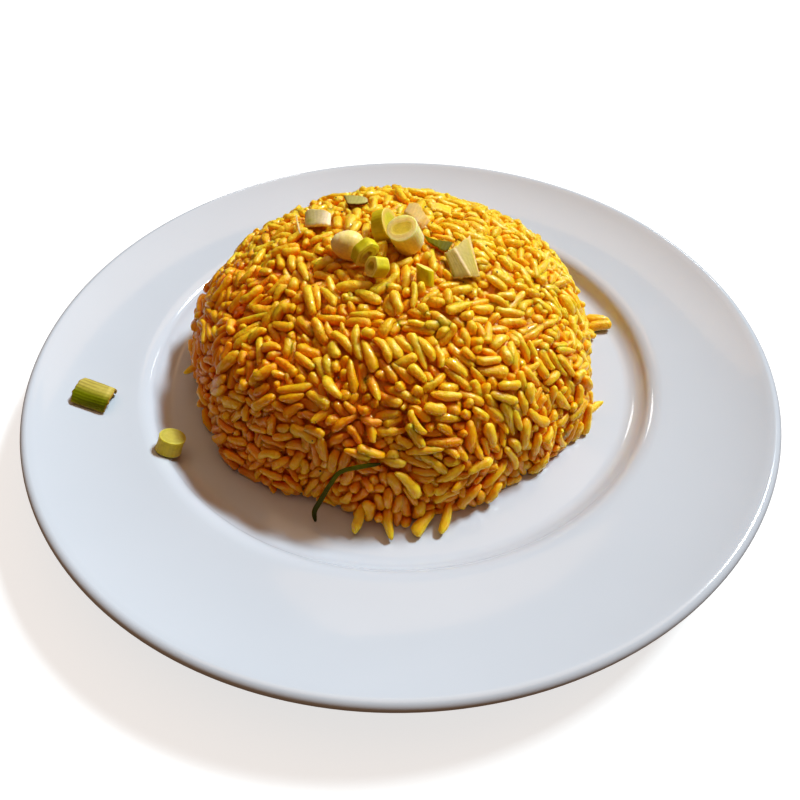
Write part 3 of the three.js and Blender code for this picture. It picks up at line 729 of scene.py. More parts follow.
def makeCore(material):
    # sticky rice under the grains: the dome let in, with lumps about as big as a grain, which are
    # products of sines of x, y and z
    rows, sides = core["rows"], core["sides"]
    share = np.linspace(1, 0, rows + 1)[1:]
    turn = 2 * pi * np.arange(sides) / sides
    ways = wayAt(turn[None, :] + 0 * share[:, None], share[:, None] + 0 * turn[None, :])
    x, y, z = (ways[..., k] for k in range(3))
    size, a, b, c = core["broad"]
    broad = size * np.sin(a * x + b) * np.sin(c * y)
    size, a, b, c, d, e = core["fine"]
    fine = size * np.sin(a * x + b * z) * np.sin(c * y + d) * np.cos(e * z)
    rings = heapPoint(ways, broad + fine + core["lift"] + core["risingLift"] * z)
    rings[..., 2] = np.maximum(rings[..., 2], heap["base"])
    top = heapPoint(np.array([[0, 0, 1.0]]), np.array([core["topLift"]]))
    points = np.concatenate([[heapMiddle], rings[::-1].reshape(-1, 3), top])
    # the core takes the same painted light and shade as the grains
    values = {"tone": np.clip(riceTone["core"] + paintedLightTone(points), 0, 1)}
    return toMesh("rice_core", points, shellFaces(rows, sides), material, values=values)


# Cut spring onion

# Tints are display values by share. What falls short of them in the light is made up for by a gain
# in red, green and blue: the piece's own, or else this one of its finish
tintGain = {
    "onion_pale": (1.26, 1.15, 0.95), "onion_green": (1.3, 1.15, 0.75), "onion_leaf": (1.6, 1.25, 0.5),
}

# Stems cut across: solid ones show their layers on the cut face, hollow ones have a hole. Each side is drawn
# towards its shade colour where it faces away from the window light: painted shade
stems = {
    "onion_slice_large": {
        "slot": "onion_pale", "gain": (1.45, 1.32, 1.0),
        "at": (2.3, -6.5, 58.6), "faces": (-0.31, -0.39, 0.87),
        "radius": 4.3, "length": 7.4, "oval": 0.94, "ribs": 34,
        "layers": [0.57, 0.8], "core": 0.14, "layerOval": 0.45,
        "cut": [(0, 204, 184, 62), (0.3, 206, 184, 66), (0.5, 206, 186, 70), (0.57, 230, 208, 120),
                (0.64, 222, 190, 116), (0.8, 226, 198, 140), (1, 232, 206, 156)],
        "side": [(0, 238, 216, 188), (0.14, 236, 216, 184), (0.24, 230, 210, 164), (0.7, 230, 212, 154),
                 (0.9, 232, 214, 168), (1, 236, 216, 180)],
        "shade": (224, 200, 70),
    },
    "onion_slice_leaning": {
        "slot": "onion_green", "at": (-3.3, 0, 57.4), "faces": (0.85, -0.3, 0.43),
        "radius": 4.7, "length": 3.9, "oval": 0.98, "ribs": 30, "layers": [0.5], "core": 0.1,
        "cut": [(0, 180, 174, 54), (0.5, 186, 180, 60), (0.7, 190, 184, 70), (0.82, 204, 182, 100),
                (1, 210, 182, 122)],
        "side": [(0, 196, 184, 34), (0.15, 190, 178, 12), (0.85, 192, 180, 14), (0.95, 208, 198, 70),
                 (1, 226, 204, 134)],
        "shade": (196, 180, 6),
    },
    "onion_ring_green": {
        "slot": "onion_green", "at": (-8.7, -11.4, 56.6), "faces": (0.46, -0.88, -0.1), "turned": 1.1,
        "radius": 3.9, "length": 2.8, "oval": 0.8, "ribs": 6, "rib": 0.035, "layers": [0.68], "hole": 0.36,
        "cut": [(0.36, 190, 164, 74), (0.5, 214, 212, 116), (0.66, 206, 202, 92), (0.82, 232, 226, 146),
                (1, 226, 220, 112)],
        "side": [(0, 186, 180, 20), (0.5, 196, 190, 8), (1, 214, 208, 60)],
        "shade": (176, 178, 34),
    },
    "onion_ring_second": {
        "slot": "onion_green", "at": (-5.6, -16.2, 55.3), "faces": (-0.77, -0.46, 0.43),
        "radius": 2.95, "length": 3.9, "oval": 0.95, "ribs": 6, "rib": 0.035, "layers": [0.75], "hole": 0.5,
        "cut": [(0.5, 210, 204, 104), (0.62, 218, 214, 144), (0.75, 212, 208, 126), (0.86, 226, 220, 154),
                (1, 232, 226, 140)],
        "side": [(0, 214, 204, 84), (0.1, 202, 196, 26), (0.88, 204, 198, 30), (1, 220, 210, 90)],
        "shade": (190, 184, 24),
    },
    "onion_bit_green": {
        "slot": "onion_green", "at": (7.2, -17.7, 53.4), "faces": (-0.01, 0.37, 0.93),
        "radius": 2.35, "length": 4.5, "oval": 0.75, "shear": -0.42, "ribs": 14,
        "layers": [0.6], "core": 0.05,
        "cut": [(0, 206, 196, 84), (0.5, 212, 200, 94), (0.75, 218, 196, 124), (1, 212, 200, 94)],
        "side": [(0, 194, 180, 4), (0.35, 200, 188, 6), (0.6, 210, 204, 16), (0.95, 212, 206, 20),
                 (1, 218, 208, 80)],
        "shade": (196, 186, 6),
    },
    "onion_slice_step": {
        "slot": "onion_green", "at": (-66.6, -40.5, 12.6), "faces": (0.43, 0.31, 0.85),
        "radius": 3.7, "length": 5.4, "waist": 0.05, "oval": 0.97, "ribs": 24, "layers": [0.5], "core": 0.06,
        "cut": [(0, 164, 158, 74), (0.4, 162, 156, 76), (0.5, 170, 164, 88), (0.8, 162, 158, 68),
                (1, 178, 174, 98)],
        "side": [(0, 216, 202, 150), (0.12, 200, 186, 90), (0.45, 204, 188, 100), (0.7, 206, 192, 60),
                 (0.94, 196, 184, 70), (1, 186, 174, 84)],
        "shade": (208, 202, 50),
    },
}
paintedShadeWay = np.array([-0.5, -0.6, -0.6])     # the side of a topping that gets painted shade: down, front and left, away from the window light
stemGrid = {
    "sides": 96, "upRows": 18, "cutRows": 26, "upTo": 0.93, "cutFrom": 0.96, "cutGap": 0.02,
    "underRings": (0.3, 0.6, 0.93), "underEdge": (0.985, -0.985), "upperEdge": (0.988, 0.983),
    "holeRows": (0.9, 0.3, -0.3, -0.9),
}
stemRelief = {
    "lobes": ((0.018, 2), (0.014, 3)), "rib": 0.008, "dipWidth": 0.03, "dip": -0.04, "fibre": 0.03,
    "fibreRings": (70, 3), "fibreRays": (9, 40), "coreFade": 6, "endWave": 0.05, "endWaveFrom": 0.9,
}
stemShade = {"share": 0.8, "narrow": 1.5, "veins": 0.05, "veinSway": (2, 3), "dips": 0.05}


def stemRows(s):
    # rows (share of radius, share of half length, 0 under, 1 side, 2 cut face), its edges eased
    t = stemGrid
    hole = s.get("hole", 0)
    middle = hole + t["cutGap"] if hole else 0
    under = [(middle, -1, 0)] + [(share, -1, 0) for share in t["underRings"] if share > middle]
    under.append((*t["underEdge"], 0))
    side = [(1, z, 1) for z in np.linspace(-t["upTo"], t["upTo"], t["upRows"])] + [(*t["upperEdge"], 1)]
    face = [(share, 1, 2) for share in np.linspace(t["cutFrom"], hole + t["cutGap"], t["cutRows"])]
    last = [(hole, z, 2) for z in t["holeRows"]] if hole else [(0, 1, 2)]
    return np.array(under + side + face + last, float)


def paintedShadeShare(turns, lay, narrow):
    # how far round towards the side that gets painted shade: (1/2 + 1/2 cos(turn))^narrow
    shaded = paintedShadeWay @ lay
    return (0.5 + 0.5 * np.cos(turns - np.arctan2(shaded[1], shaded[0]))) ** narrow


def toned(tint, towards, share):
    # a tint drawn towards a display value by a share
    return tint + (inLight(towards) - tint) * share[..., None]


def stemPiece(name, s, seed):
    # lobed and ribbed lathe; between layers the cut face dips by exp(-((share - layer) / width)^2)
    t = stemRelief
    chance = np.random.default_rng(seed)
    rows, sides = stemRows(s), stemGrid["sides"]
    turn = 2 * pi * np.arange(sides) / sides
    share, z, part = (rows[:, k][:, None] + 0 * turn for k in (0, 1, 2))
    turns = turn + 0 * share
    phases = chance.uniform(0, 2 * pi, 5)
    lobes = 1 + sum(
        size * np.sin(waves * turns + phase) for (size, waves), phase in zip(t["lobes"], phases)
    )
    ribs = s.get("rib", t["rib"]) * np.cos(s["ribs"] * turns + phases[2]) * ((part == 1) | ("rib" in s))
    radius = s["radius"] * share * (lobes + ribs) * (1 - s.get("waist", 0) * (1 - z ** 2) * (part == 1))
    layered = share * (1 - s.get("layerOval", 0) * (1 - share) * np.cos(2 * turns))
    dips = sum(np.exp(-((layered - layer) / t["dipWidth"]) ** 2) for layer in s["layers"])
    rings = np.sin(t["fibreRings"][0] * share + t["fibreRings"][1] * np.sin(2 * turns + phases[3]))
    rays = np.sin(t["fibreRays"][0] * turns + t["fibreRays"][1] * share + phases[4])
    fibres = 0.5 * rings + 0.5 * rays
    relief = (part == 2) * (share > s.get("hole", 0)) * (t["dip"] * dips + t["fibre"] * fibres)
    inner = np.clip(layered / s["layers"][0], 0, 1)
    relief -= (part == 2) * s.get("core", 0) * (1 - inner ** t["coreFade"])
    wave = t["endWave"] * s["radius"] * share * np.sin(turns + phases[0])
    wave = wave * (np.abs(z) > t["endWaveFrom"])
    across = radius * np.cos(turns), radius * np.sin(turns) * s["oval"]
    height = z * s["length"] / 2 + relief + wave * np.sign(z) + s.get("shear", 0) * across[0]
    grid = np.stack([across[0], across[1], height], -1)
    lay = layTowards(s["faces"], s.get("turned", 0))
    # painted shade: the side is drawn towards the stem's shade colour where it faces away from the window
    # light
    dark = stemShade["share"] * paintedShadeShare(turns, lay, stemShade["narrow"])
    sideTint = toned(blend(s["side"], (z + 1) / 2), s["shade"], dark)
    sway, swayWaves = stemShade["veinSway"]
    veins = (0.5 + 0.5 * np.sin(s["ribs"] * turns + sway * np.sin(swayWaves * turns) + phases[2])) ** 2
    sideTint = sideTint * (1 - stemShade["veins"] * veins)[..., None]
    dipped = np.clip(dips, 0, 1) * (part == 2)
    cutTint = blend(s["cut"], layered) * (1 - stemShade["dips"] * dipped)[..., None]
    tint = np.where((part == 1)[..., None], sideTint, cutTint)
    if s.get("hole"):
        count = len(rows)
        ring, after = np.arange(sides), (np.arange(sides) + 1) % sides
        row = sides * np.arange(count)[:, None]
        above = sides * ((np.arange(count) + 1) % count)[:, None]
        faces = [np.stack([row + ring, row + after, above + after, above + ring], -1).reshape(-1, 4)]
        points, tints = grid.reshape(-1, 3), tint.reshape(-1, 3)
    else:
        faces = list(shellFaces(len(rows) - 2, sides))
        points, tints = (
            np.concatenate([a[0, :1], a[1:-1].reshape(-1, 3), a[-1, :1]]) for a in (grid, tint)
        )
    return onionPiece(name + "_cut", name, points, faces, tints, s, lay)


def onionPiece(name, node, points, faces, tints, s, lay=None):
    # turned and put in its place, if it was made upright, in its finish and its own tint
    faces = facedOut(points, faces)
    if lay is not None:
        points = points @ lay.T + s["at"]
    tints = tints * np.array(s.get("gain", tintGain[s["slot"]]))
    piece = toMesh(name, points, faces, onionMaterials[s["slot"]], tints=tints)
    return served(piece, s["slot"], *([node] if node else []))


# Bulb end: rows of share of radius and share of length, from its broad end to its tip
bulb = {
    "slot": "onion_pale", "at": (-13.9, -7.3, 56.4), "faces": (-0.94, -0.12, 0.32),
    "radius": 4, "length": 8.9,
    "profile": [(0, -0.5), (0.2, -0.497), (0.36, -0.49), (0.66, -0.45), (0.88, -0.35), (0.98, -0.22),
                (1, -0.08), (0.97, 0.03), (0.9, 0.12), (0.74, 0.28), (0.52, 0.4), (0.4, 0.44),
                (0.28, 0.47), (0.14, 0.492), (0, 0.5)],
    "tint": [(0, 234, 214, 130), (0.3, 236, 216, 138), (0.6, 234, 214, 142), (0.82, 236, 216, 164),
             (1, 244, 224, 196)],
    # painted shade: the bulb's side away from the window light is drawn towards its shade colour
    "shade": (228, 198, 96), "shadeShare": 0.7, "shadeNarrow": 2, "veins": (0.1, 30, 2, 2),
    "lobes": ((0.03, 2, 0.7), (0.02, 3, 2), (0.006, 30, 0)), "steps": 43, "sides": 72,
}


def makeBulbEnd():
    # its profile turned about +Z, with lobes sin(n turn + phase)
    table = np.array(bulb["profile"])
    steps = np.linspace(0, len(table) - 1, bulb["steps"])
    share, z = (np.interp(steps, np.arange(len(table)), table[:, k]) for k in (0, 1))
    sides = bulb["sides"]
    turn = 2 * pi * np.arange(sides) / sides
    turns = turn + 0 * share[1:-1, None]
    lobes = 1 + sum(size * np.sin(waves * turns + phase) for size, waves, phase in bulb["lobes"])
    radius = bulb["radius"] * share[1:-1, None] * lobes
    height = bulb["length"] * z[:, None] + 0 * turn
    rings = np.stack([radius * np.cos(turns), radius * np.sin(turns), height[1:-1]], -1).reshape(-1, 3)
    points = np.concatenate([[(0, 0, height[0, 0])], rings, [(0, 0, height[-1, 0])]])
    lay = layTowards(bulb["faces"])
    # painted shade on the side away from the window light
    dark = bulb["shadeShare"] * paintedShadeShare(turns, lay, bulb["shadeNarrow"])
    tint = toned(blend(bulb["tint"], z[1:-1, None] + 0.5 + 0 * turns), bulb["shade"], dark)
    depth, lines, sway, swayWaves = bulb["veins"]
    veins = (0.5 + 0.5 * np.sin(lines * turns + sway * np.sin(swayWaves * turns))) ** 2
    tint = tint * (1 - depth * veins)[..., None]
    tints = np.concatenate([tint[0, :1], tint.reshape(-1, 3), tint[-1, :1]])
    faces = list(shellFaces(len(share) - 2, sides))
    onionPiece("onion_bulb_tip", "onion_bulb_end", points, faces, tints, bulb, lay)


# Thin pieces, spanned by straight lines from a near edge to a far edge; those are curves through
# these points, or straight from point to point where the piece is creased
sheets = {
    "onion_sheath_folded": {
        "slot": "onion_pale", "gain": (0.87, 0.82, 0.86), "thickness": 1.2, "creased": True,
        "near": [(12.8, -9, 54.3), (15.2, -8.5, 55.4), (20.5, 0.6, 53.6)],
        "far": [(14.9, -16.7, 51.5), (19.2, -17, 52.4), (22.1, -14.5, 50.4)],
        "across": [(0, 168, 162, 20), (0.05, 184, 174, 54), (0.13, 208, 188, 98), (0.45, 206, 186, 94),
                   (0.5, 236, 208, 144), (0.55, 204, 184, 88), (0.8, 204, 184, 84),
                   (0.89, 206, 190, 70), (0.94, 250, 212, 130), (1, 252, 216, 136)],
        "along": [(0, 1.06, 1.04, 1.15), (0.5, 1, 1, 1), (1, 0.96, 0.88, 0.7)],
        "lines": 10, "lineDepth": 0.06, "edge": (236, 210, 150),
    },
    "onion_leaf_dark": {
        "slot": "onion_leaf", "thickness": 0.6,
        "near": [(7.5, -1.3, 55.1), (10.2, -2.6, 54.7), (13.1, -2.7, 54.1), (15.7, -2.2, 53.4)],
        "far": [(8.5, -3.5, 54.5), (10.7, -5.4, 54.1), (12.4, -6.6, 53.7), (14, -6.1, 53.3)],
        "across": [(0, 104, 106, 4), (0.4, 92, 94, 0), (1, 76, 78, 0)],
        "along": [(0, 1, 1, 1), (1, 0.85, 0.85, 0.85)],
        "lines": 6, "lineDepth": 0.15, "edge": (124, 128, 8),
    },
    "onion_shell_pale": {
        "slot": "onion_pale", "gain": (0.86, 0.76, 0.7), "thickness": 1.1,
        "near": [(3.7, 14.7, 55.7), (6.3, 13, 56.4), (7.9, 7.7, 56.4), (9.4, 6.1, 55)],
        "far": [(2, 7.9, 56.9), (4.1, 3.9, 57.9), (5.6, 2, 57.2), (7, 1.8, 55.3)],
        "across": [(0, 232, 206, 130), (0.3, 234, 204, 126), (0.6, 222, 190, 106), (0.8, 234, 190, 90),
                   (1, 242, 208, 140)],
        "along": [(0, 1.05, 1.05, 1.1), (0.5, 1, 1, 1), (1, 0.97, 0.93, 0.85)],
        "lines": 9, "lineDepth": 0.08, "edge": (238, 212, 164),
    },
    "onion_arch_pale": {
        "slot": "onion_pale", "gain": (1.03, 1.02, 1.0), "thickness": 1.4,
        "near": [(-28.5, 20.8, 49.6), (-26.5, 19.3, 51.6), (-21.5, 14.2, 54), (-19.7, 12, 53.7)],
        "far": [(-27.3, 9.7, 51.7), (-25, 7.2, 53.5), (-21.8, 5.8, 54.6), (-19.4, 6, 54.1)],
        "across": [(0, 212, 176, 130), (0.1, 194, 172, 114), (0.4, 194, 178, 118), (0.62, 210, 188, 146),
                   (0.85, 240, 216, 184), (1, 236, 212, 160)],
        "along": [(0, 0.95, 0.95, 0.95), (0.85, 1.02, 1.02, 1.02), (1, 1.12, 1.1, 1.15)],
        "lines": 11, "lineDepth": 0.08, "edge": (236, 214, 170),
        "spot": (0.27, 0.78, 0.13, 156, 150, 30),
    },
    "onion_flake_dry": {
        "slot": "onion_leaf", "gain": (1.1, 1.1, 1.0), "thickness": 0.9,
        "near": [(-17.2, 30.9, 49.7), (-14.2, 27.6, 51.5), (-10.8, 24.9, 52.6), (-9.1, 22.8, 52.9)],
        "far": [(-15.2, 19.9, 53.1), (-13.9, 18.4, 53.7), (-10.9, 17.9, 54), (-8.9, 19.3, 53.7)],
        # painted shade: darker at the left end (u = 0), towards the front edge (along 1) and all round the
        # rim and sides (edge), where the flake's thickness and the gap under it lie in shade
        "across": [(0, 156, 140, 66), (0.15, 176, 162, 96), (0.6, 178, 168, 100), (1, 190, 176, 120)],
        "along": [(0, 0.96, 0.96, 0.9), (0.9, 1, 1, 1), (1, 0.7, 0.6, 0.3)],
        "lines": 8, "lineDepth": 0.12, "edge": (92, 54, 6),
    },
    "onion_bit_pale": {
        "slot": "onion_pale", "thickness": 0.9,
        "near": [(10.4, 18.2, 53), (12.7, 20.6, 52.4), (16.6, 18.9, 51.6)],
        "far": [(10.4, 15, 53.5), (12.9, 14.8, 53.4), (16, 13.1, 52.7)],
        "across": [(0, 244, 196, 90), (0.4, 242, 194, 80), (0.6, 234, 190, 50), (1, 226, 192, 30)],
        "along": [(0, 1, 1, 1), (1, 1, 1, 1)],
        "lines": 7, "lineDepth": 0.1, "edge": (236, 196, 110),
    },
    "onion_tube_rim": {
        "slot": "onion_leaf", "gain": (1.3, 1.15, 0.75), "thickness": 0.9,
        "near": [(-96.8, -18.4, 15.3), (-96.7, -19.1, 18.2), (-97.4, -22.4, 18.9), (-98.2, -25.2, 18),
                 (-98.5, -27.1, 16.4)],
        "far": [(-87.4, -21.6, 13.9), (-86.4, -22.7, 16.6), (-86.2, -26.6, 17.6), (-87.2, -28.7, 16.4),
                (-88.8, -29.6, 14.2)],
        # painted highlight: the across tint turns pale from 0.27 to 0.45, along the top of the curl that
        # faces the window light
        "across": [(0, 110, 84, 24), (0.2, 130, 118, 50), (0.27, 166, 156, 92), (0.45, 168, 160, 90),
                   (0.55, 140, 140, 52), (0.64, 104, 116, 6), (0.8, 92, 104, 0),
                   (0.94, 110, 118, 8), (1, 134, 138, 30)],
        "along": [(0, 1.1, 1.1, 1.2), (0.2, 1, 1, 1), (0.8, 1, 1, 1), (0.88, 1.25, 1.25, 1.6),
                  (0.94, 1, 1, 1), (1, 0.9, 0.9, 0.8)],
        "lines": 13, "lineDepth": 0.4, "edge": (150, 116, 36),
    },
}


def lineAt(marks, share, creased=False):
    # at shares from 0 to 1: straight from mark to mark where creased, else Catmull-Rom,
    # 0.5 (2b + (c-a)t + (2a-5b+4c-d)t^2 + (3b-a-3c+d)t^3)
    marks = np.array(marks, float)
    where = np.asarray(share) * (len(marks) - 1)
    k = np.minimum(where.astype(int), len(marks) - 2)
    t = (where - k)[..., None]
    marks = np.concatenate([[2 * marks[0] - marks[1]], marks, [2 * marks[-1] - marks[-2]]])
    a, b, c, d = (marks[k + n] for n in range(4))
    if creased:
        return b + (c - b) * t
    squared, cubed = 2 * a - 5 * b + 4 * c - d, 3 * b - a - 3 * c + d
    return 0.5 * (2 * b + (c - a) * t + squared * t ** 2 + cubed * t ** 3)


sheetGrid = {"wide": 65, "long": 49}
sheetForm = {
    "frays": ((0.1, 23), (0.08, 41)), "frayEdge": 9, "edgeShare": 0.5, "edgeSharp": 10, "tintEdge": 40,
    "vein": 0.04, "veinUnder": 0.4, "veinFade": 8, "veinSway": (1.5, 3), "patches": (0.6, 0.4, 5, 9),
}


def sheetPiece(name, s, seed):
    # two faces half a thickness off the middle, thinner towards the edge by m^10, joined round it;
    # veins sin(2 pi lines u) run along it, and its two ends fray
    t = sheetForm
    chance = np.random.default_rng(seed)
    wide, long = sheetGrid["wide"], sheetGrid["long"]
    u, v = np.meshgrid(np.linspace(0, 1, wide), np.linspace(0, 1, long), indexing="ij")
    start, end = (lineAt(s[edge], u, "creased" in s) for edge in ("near", "far"))
    middle = start + (end - start) * v[..., None]
    acrossWay, alongWay = np.gradient(middle, axis=0), np.gradient(middle, axis=1)
    normal = unit(np.cross(acrossWay, alongWay))
    phases = chance.uniform(0, 2 * pi, 4)
    fray = sum(
        size * np.sin(waves * u + phase) * (2 * v - 1) ** t["frayEdge"]
        for (size, waves), phase in zip(t["frays"], phases)
    )
    middle = middle + fray[..., None] * unit(alongWay)
    rim = np.maximum(np.abs(2 * u - 1), np.abs(2 * v - 1))
    half = s["thickness"] / 2 * (t["edgeShare"] + (1 - t["edgeShare"]) * (1 - rim ** t["edgeSharp"]))
    sway, swayWaves = t["veinSway"]
    vein = np.sin(2 * pi * s["lines"] * u + sway * np.sin(swayWaves * v + phases[2]))
    raised = t["vein"] * vein * (1 - rim ** t["veinFade"])
    top = middle + normal * (half + raised)[..., None]
    under = middle - normal * (half - t["veinUnder"] * raised)[..., None]
    factors = np.array(s["along"])
    along = np.stack([np.interp(v, factors[:, 0], factors[:, k]) for k in (1, 2, 3)], -1)
    even, swing, alongWaves, acrossWaves = t["patches"]
    patches = even + swing * np.sin(alongWaves * v + acrossWaves * u + phases[3])
    stripes = (0.5 + 0.5 * vein) ** 2 * patches
    tint = blend(s["across"], u) * along * (1 - s["lineDepth"] * stripes)[..., None]
    if "spot" in s:
        x, y, reach, *colour = s["spot"]
        tint = toned(tint, colour, np.exp(-((u - x) ** 2 + (v - y) ** 2) / reach ** 2))
    tint = toned(tint, s["edge"], rim ** t["tintEdge"])
    index = np.arange(wide * long).reshape(wide, long)
    quads = np.stack([index[:-1, :-1], index[1:, :-1], index[1:, 1:], index[:-1, 1:]], -1).reshape(-1, 4)
    edge = np.concatenate([index[:-1, 0], index[-1, :-1], index[:0:-1, -1], index[0, :0:-1]])
    after = np.roll(edge, -1)
    offset = wide * long
    joins = np.stack([after, edge, edge + offset, after + offset], -1)
    faces = [np.concatenate([quads, quads[:, ::-1] + offset, joins])]
    points = np.concatenate([top.reshape(-1, 3), under.reshape(-1, 3)])
    tints = np.concatenate([tint.reshape(-1, 3)] * 2)
    return onionPiece(name + "_thin", name, points, faces, tints, s)


# The shred that hangs off the front, and one pale fibre by the arch: the points that they pass
shred = {
    "slot": "onion_leaf",
    "line": [(-5.2, -58.8, 25.8), (-10.6, -59.9, 26), (-15.4, -60.2, 24.4), (-18.2, -61.2, 20.6),
             (-21.2, -62.5, 15.2), (-23.2, -63.2, 11), (-23.4, -63.8, 6.9)],
    "outward": (-0.15, -0.93, 0.33), "width": 1.3, "thickness": 0.5,
    "tint": [(0, 30, 40, 4), (0.12, 72, 84, 4), (0.42, 74, 86, 4), (0.55, 60, 66, 6), (0.8, 44, 48, 4),
             (1, 26, 32, 0)],
}
fibre = {
    "slot": "onion_pale",
    "line": [(-31, 17.6, 51.2), (-30.2, 13.4, 52), (-29.2, 8.6, 52.6), (-28.2, 4.2, 53)],
    "outward": (-0.4, 0, 0.9), "width": 0.5, "thickness": 0.35,
    "tint": [(0, 226, 200, 150), (1, 238, 218, 180)],
}


strandForm = {
    "steps": 80, "sides": 14, "squareness": 0.77, "endNarrow": (14, 0.6), "uneven": (0.08, 9, 1),
    "hollow": 0.06, "edgeShade": (0.2, 3),
}


def strandPiece(name, node, s):
    # a flat strand along the line: section |x|^2.6 + |y|^2.6 = 1, narrowed at both ends
    t = strandForm
    steps, sides = t["steps"], t["sides"]
    share = np.linspace(0, 1, steps)
    line = lineAt(s["line"], share)
    along = unit(np.gradient(line, axis=0))
    across = unit(np.cross(along, np.array(s["outward"], float)))
    out = np.cross(across, along)
    turn = 2 * pi * np.arange(sides) / sides
    x, y = (np.sign(f(turn)) * np.abs(f(turn)) ** t["squareness"] for f in (np.cos, np.sin))
    sharpness, narrowed = t["endNarrow"]
    size, waves, phase = t["uneven"]
    size = (1 - np.abs(2 * share - 1) ** sharpness * narrowed) * (1 + size * np.sin(waves * share + phase))
    wide = (s["width"] / 2 * size)[:, None] * x
    deep = (s["thickness"] / 2 * size)[:, None] * y + t["hollow"] * s["width"] * np.abs(x)
    rings = line[:, None] + wide[..., None] * across[:, None] + deep[..., None] * out[:, None]
    points = np.concatenate([line[:1], rings.reshape(-1, 3), line[-1:]])
    shade, sharpness = t["edgeShade"]
    tint = blend(s["tint"], share)[:, None] * (1 - shade * np.abs(x) ** sharpness)[None, :, None]
    tints = np.concatenate([tint[0, :1], tint.reshape(-1, 3), tint[-1, :1]])
    return onionPiece(name, node, points, list(shellFaces(steps, sides)), tints, s)


# Seeds of the phases of each kind of piece
onionSeeds = {"stems": 80, "sheets": 90}


def makeOnion():
    for slot, (name, *finish) in onionFinishes.items():
        onionMaterials[slot] = onionFinish(name, *finish)
    for seed, (name, s) in enumerate(stems.items()):
        stemPiece(name, s, onionSeeds["stems"] + seed)
    makeBulbEnd()
    for seed, (name, s) in enumerate(sheets.items()):
        sheetPiece(name, s, onionSeeds["sheets"] + seed)
    strandPiece("onion_shred_curl", "onion_shred", shred)
    strandPiece("onion_fibre", None, fibre)


# Loose things on the heap and the plate

# Fallen grains, swollen with oil: middle, lie, length, radius
strays = {
    "rice_grain_stray_1": ((70.4, 16.4, 8.2), (0.92, -0.28, 0.14), 9.6, 2.0),
    "rice_grain_stray_2": ((70.8, 13.4, 8.0), (0.97, 0.12, 0.1), 9.2, 1.8),
    "rice_grain_stray_3": ((67, 9.6, 7.6), (0.5, -0.8, 0.05), 4.7, 1.3),
}


def makeStrays(material):
    # each fallen grain is a piece of its own, shaped like the others but larger
    for seed, (name, stray) in enumerate(strays.items()):
        at, lie, length, radius = (np.array([value]) for value in stray)
        chance = np.random.default_rng(grainSeeds["fallen"] + seed)
        points = grainPoints(at, unit(lie), length, radius, chance)[0]
        faces = facedOut(points, list(shellFaces(len(grainShape["rings"]), grainShape["sides"])))
        values = {"tone": np.full(len(points), riceTone["fallen"])}
        served(toMesh(name + "_fallen", points, faces, material, values=values), "rice", name)


# Pepper that shows: turn about the heap and share of its height; the rest falls by chance
pepper = {
    "marks": [
        (-144, 0.823), (161, 0.897), (-12, 0.904), (-23, 0.917), (-32, 0.895), (-27, 0.863),
        (-59, 0.979), (-51, 0.950), (-132, 0.395), (139, 0.954), (-105, 0.963), (-80, 0.993),
        (-143, 0.965), (-143, 0.913), (-54, 0.884), (-48, 0.900),
    ],
    "strewn": 110, "jitter": 0.2, "size": (0.16, 0.3), "markSize": 0.36, "lift": 0.05, "lowest": -2,
    "sides": 6, "rings": ((0.85, -0.3), (0.8, 0.35)), "tip": 0.7,
    "jagged": (0.65, 1.25), "uneven": (0.7, 1.3),
    "shader": {"Base Color": (0.035, 0.018, 0.008, 1), "Roughness": 0.5},
}
grainBeads = {"count": 5, "reach": 0.8, "cover": 0.9, "none": -9}     # how a grain is felt for from above


def makePepper(g):
    # each speck sits on the outermost grain that its own way out of the heap meets
    marks = np.array(pepper["marks"])
    ways = wayAt(np.radians(marks[:, 0]), marks[:, 1])
    ways = np.concatenate([ways, spiralWays(pepper["strewn"], pepper["jitter"])])
    base = heapPoint(ways, np.zeros(len(ways)))
    outward = overDome(base)[1]
    reach, count = grainBeads["reach"], grainBeads["count"]
    steps = np.linspace(-reach, reach, count)[:, None, None]
    beads = (g["middle"] + steps * (g["length"] / 2)[:, None] * g["lie"]).reshape(-1, 3)
    around = np.tile(g["radius"], count)
    gap = beads[None] - base[:, None]
    height = (gap * outward[:, None]).sum(-1)
    aside = np.linalg.norm(gap - height[..., None] * outward[:, None], axis=-1)
    over = height + np.sqrt(np.maximum(around ** 2 - aside ** 2, 0))
    lift = np.where(aside < grainBeads["cover"] * around, over, grainBeads["none"]).max(1)
    kept = lift > pepper["lowest"]
    at = (base + outward * (lift + pepper["lift"])[:, None])[kept]
    count, sides = len(at), pepper["sides"]
    size = luck.uniform(*pepper["size"], count)
    size[:min(len(marks), count)] = pepper["markSize"]
    rows = np.array([(0, -pepper["tip"]), *pepper["rings"], (0, pepper["tip"])])
    shape, faceSets = turnedShell(rows, sides)
    jag = luck.uniform(*pepper["jagged"], (count, len(shape), 1))
    points = at[:, None] + size[:, None, None] * jag * shape * luck.uniform(*pepper["uneven"], (count, 1, 3))
    offset = (len(shape) * np.arange(count))[:, None, None]
    faces = [(rows + offset).reshape(-1, rows.shape[1]) for rows in faceSets]
    made, _ = shaderMaterial("ground_pepper", pepper["shader"])
    served(toMesh("pepper_specks", points.reshape(-1, 3), faces, made, smooth=False), "rice")


# Stage, light and camera

studio = {
    "camera": (0, -152.07, 151.26), "lens": 27.62, "sensor": 36, "nearest": 0.01,
    "tilt": 42.516, "roll": -0.892,     # degrees up from looking straight down, and about the line of sight
    "air": (1.0, 0.55, 0.32), "airStrength": 0.12,
}
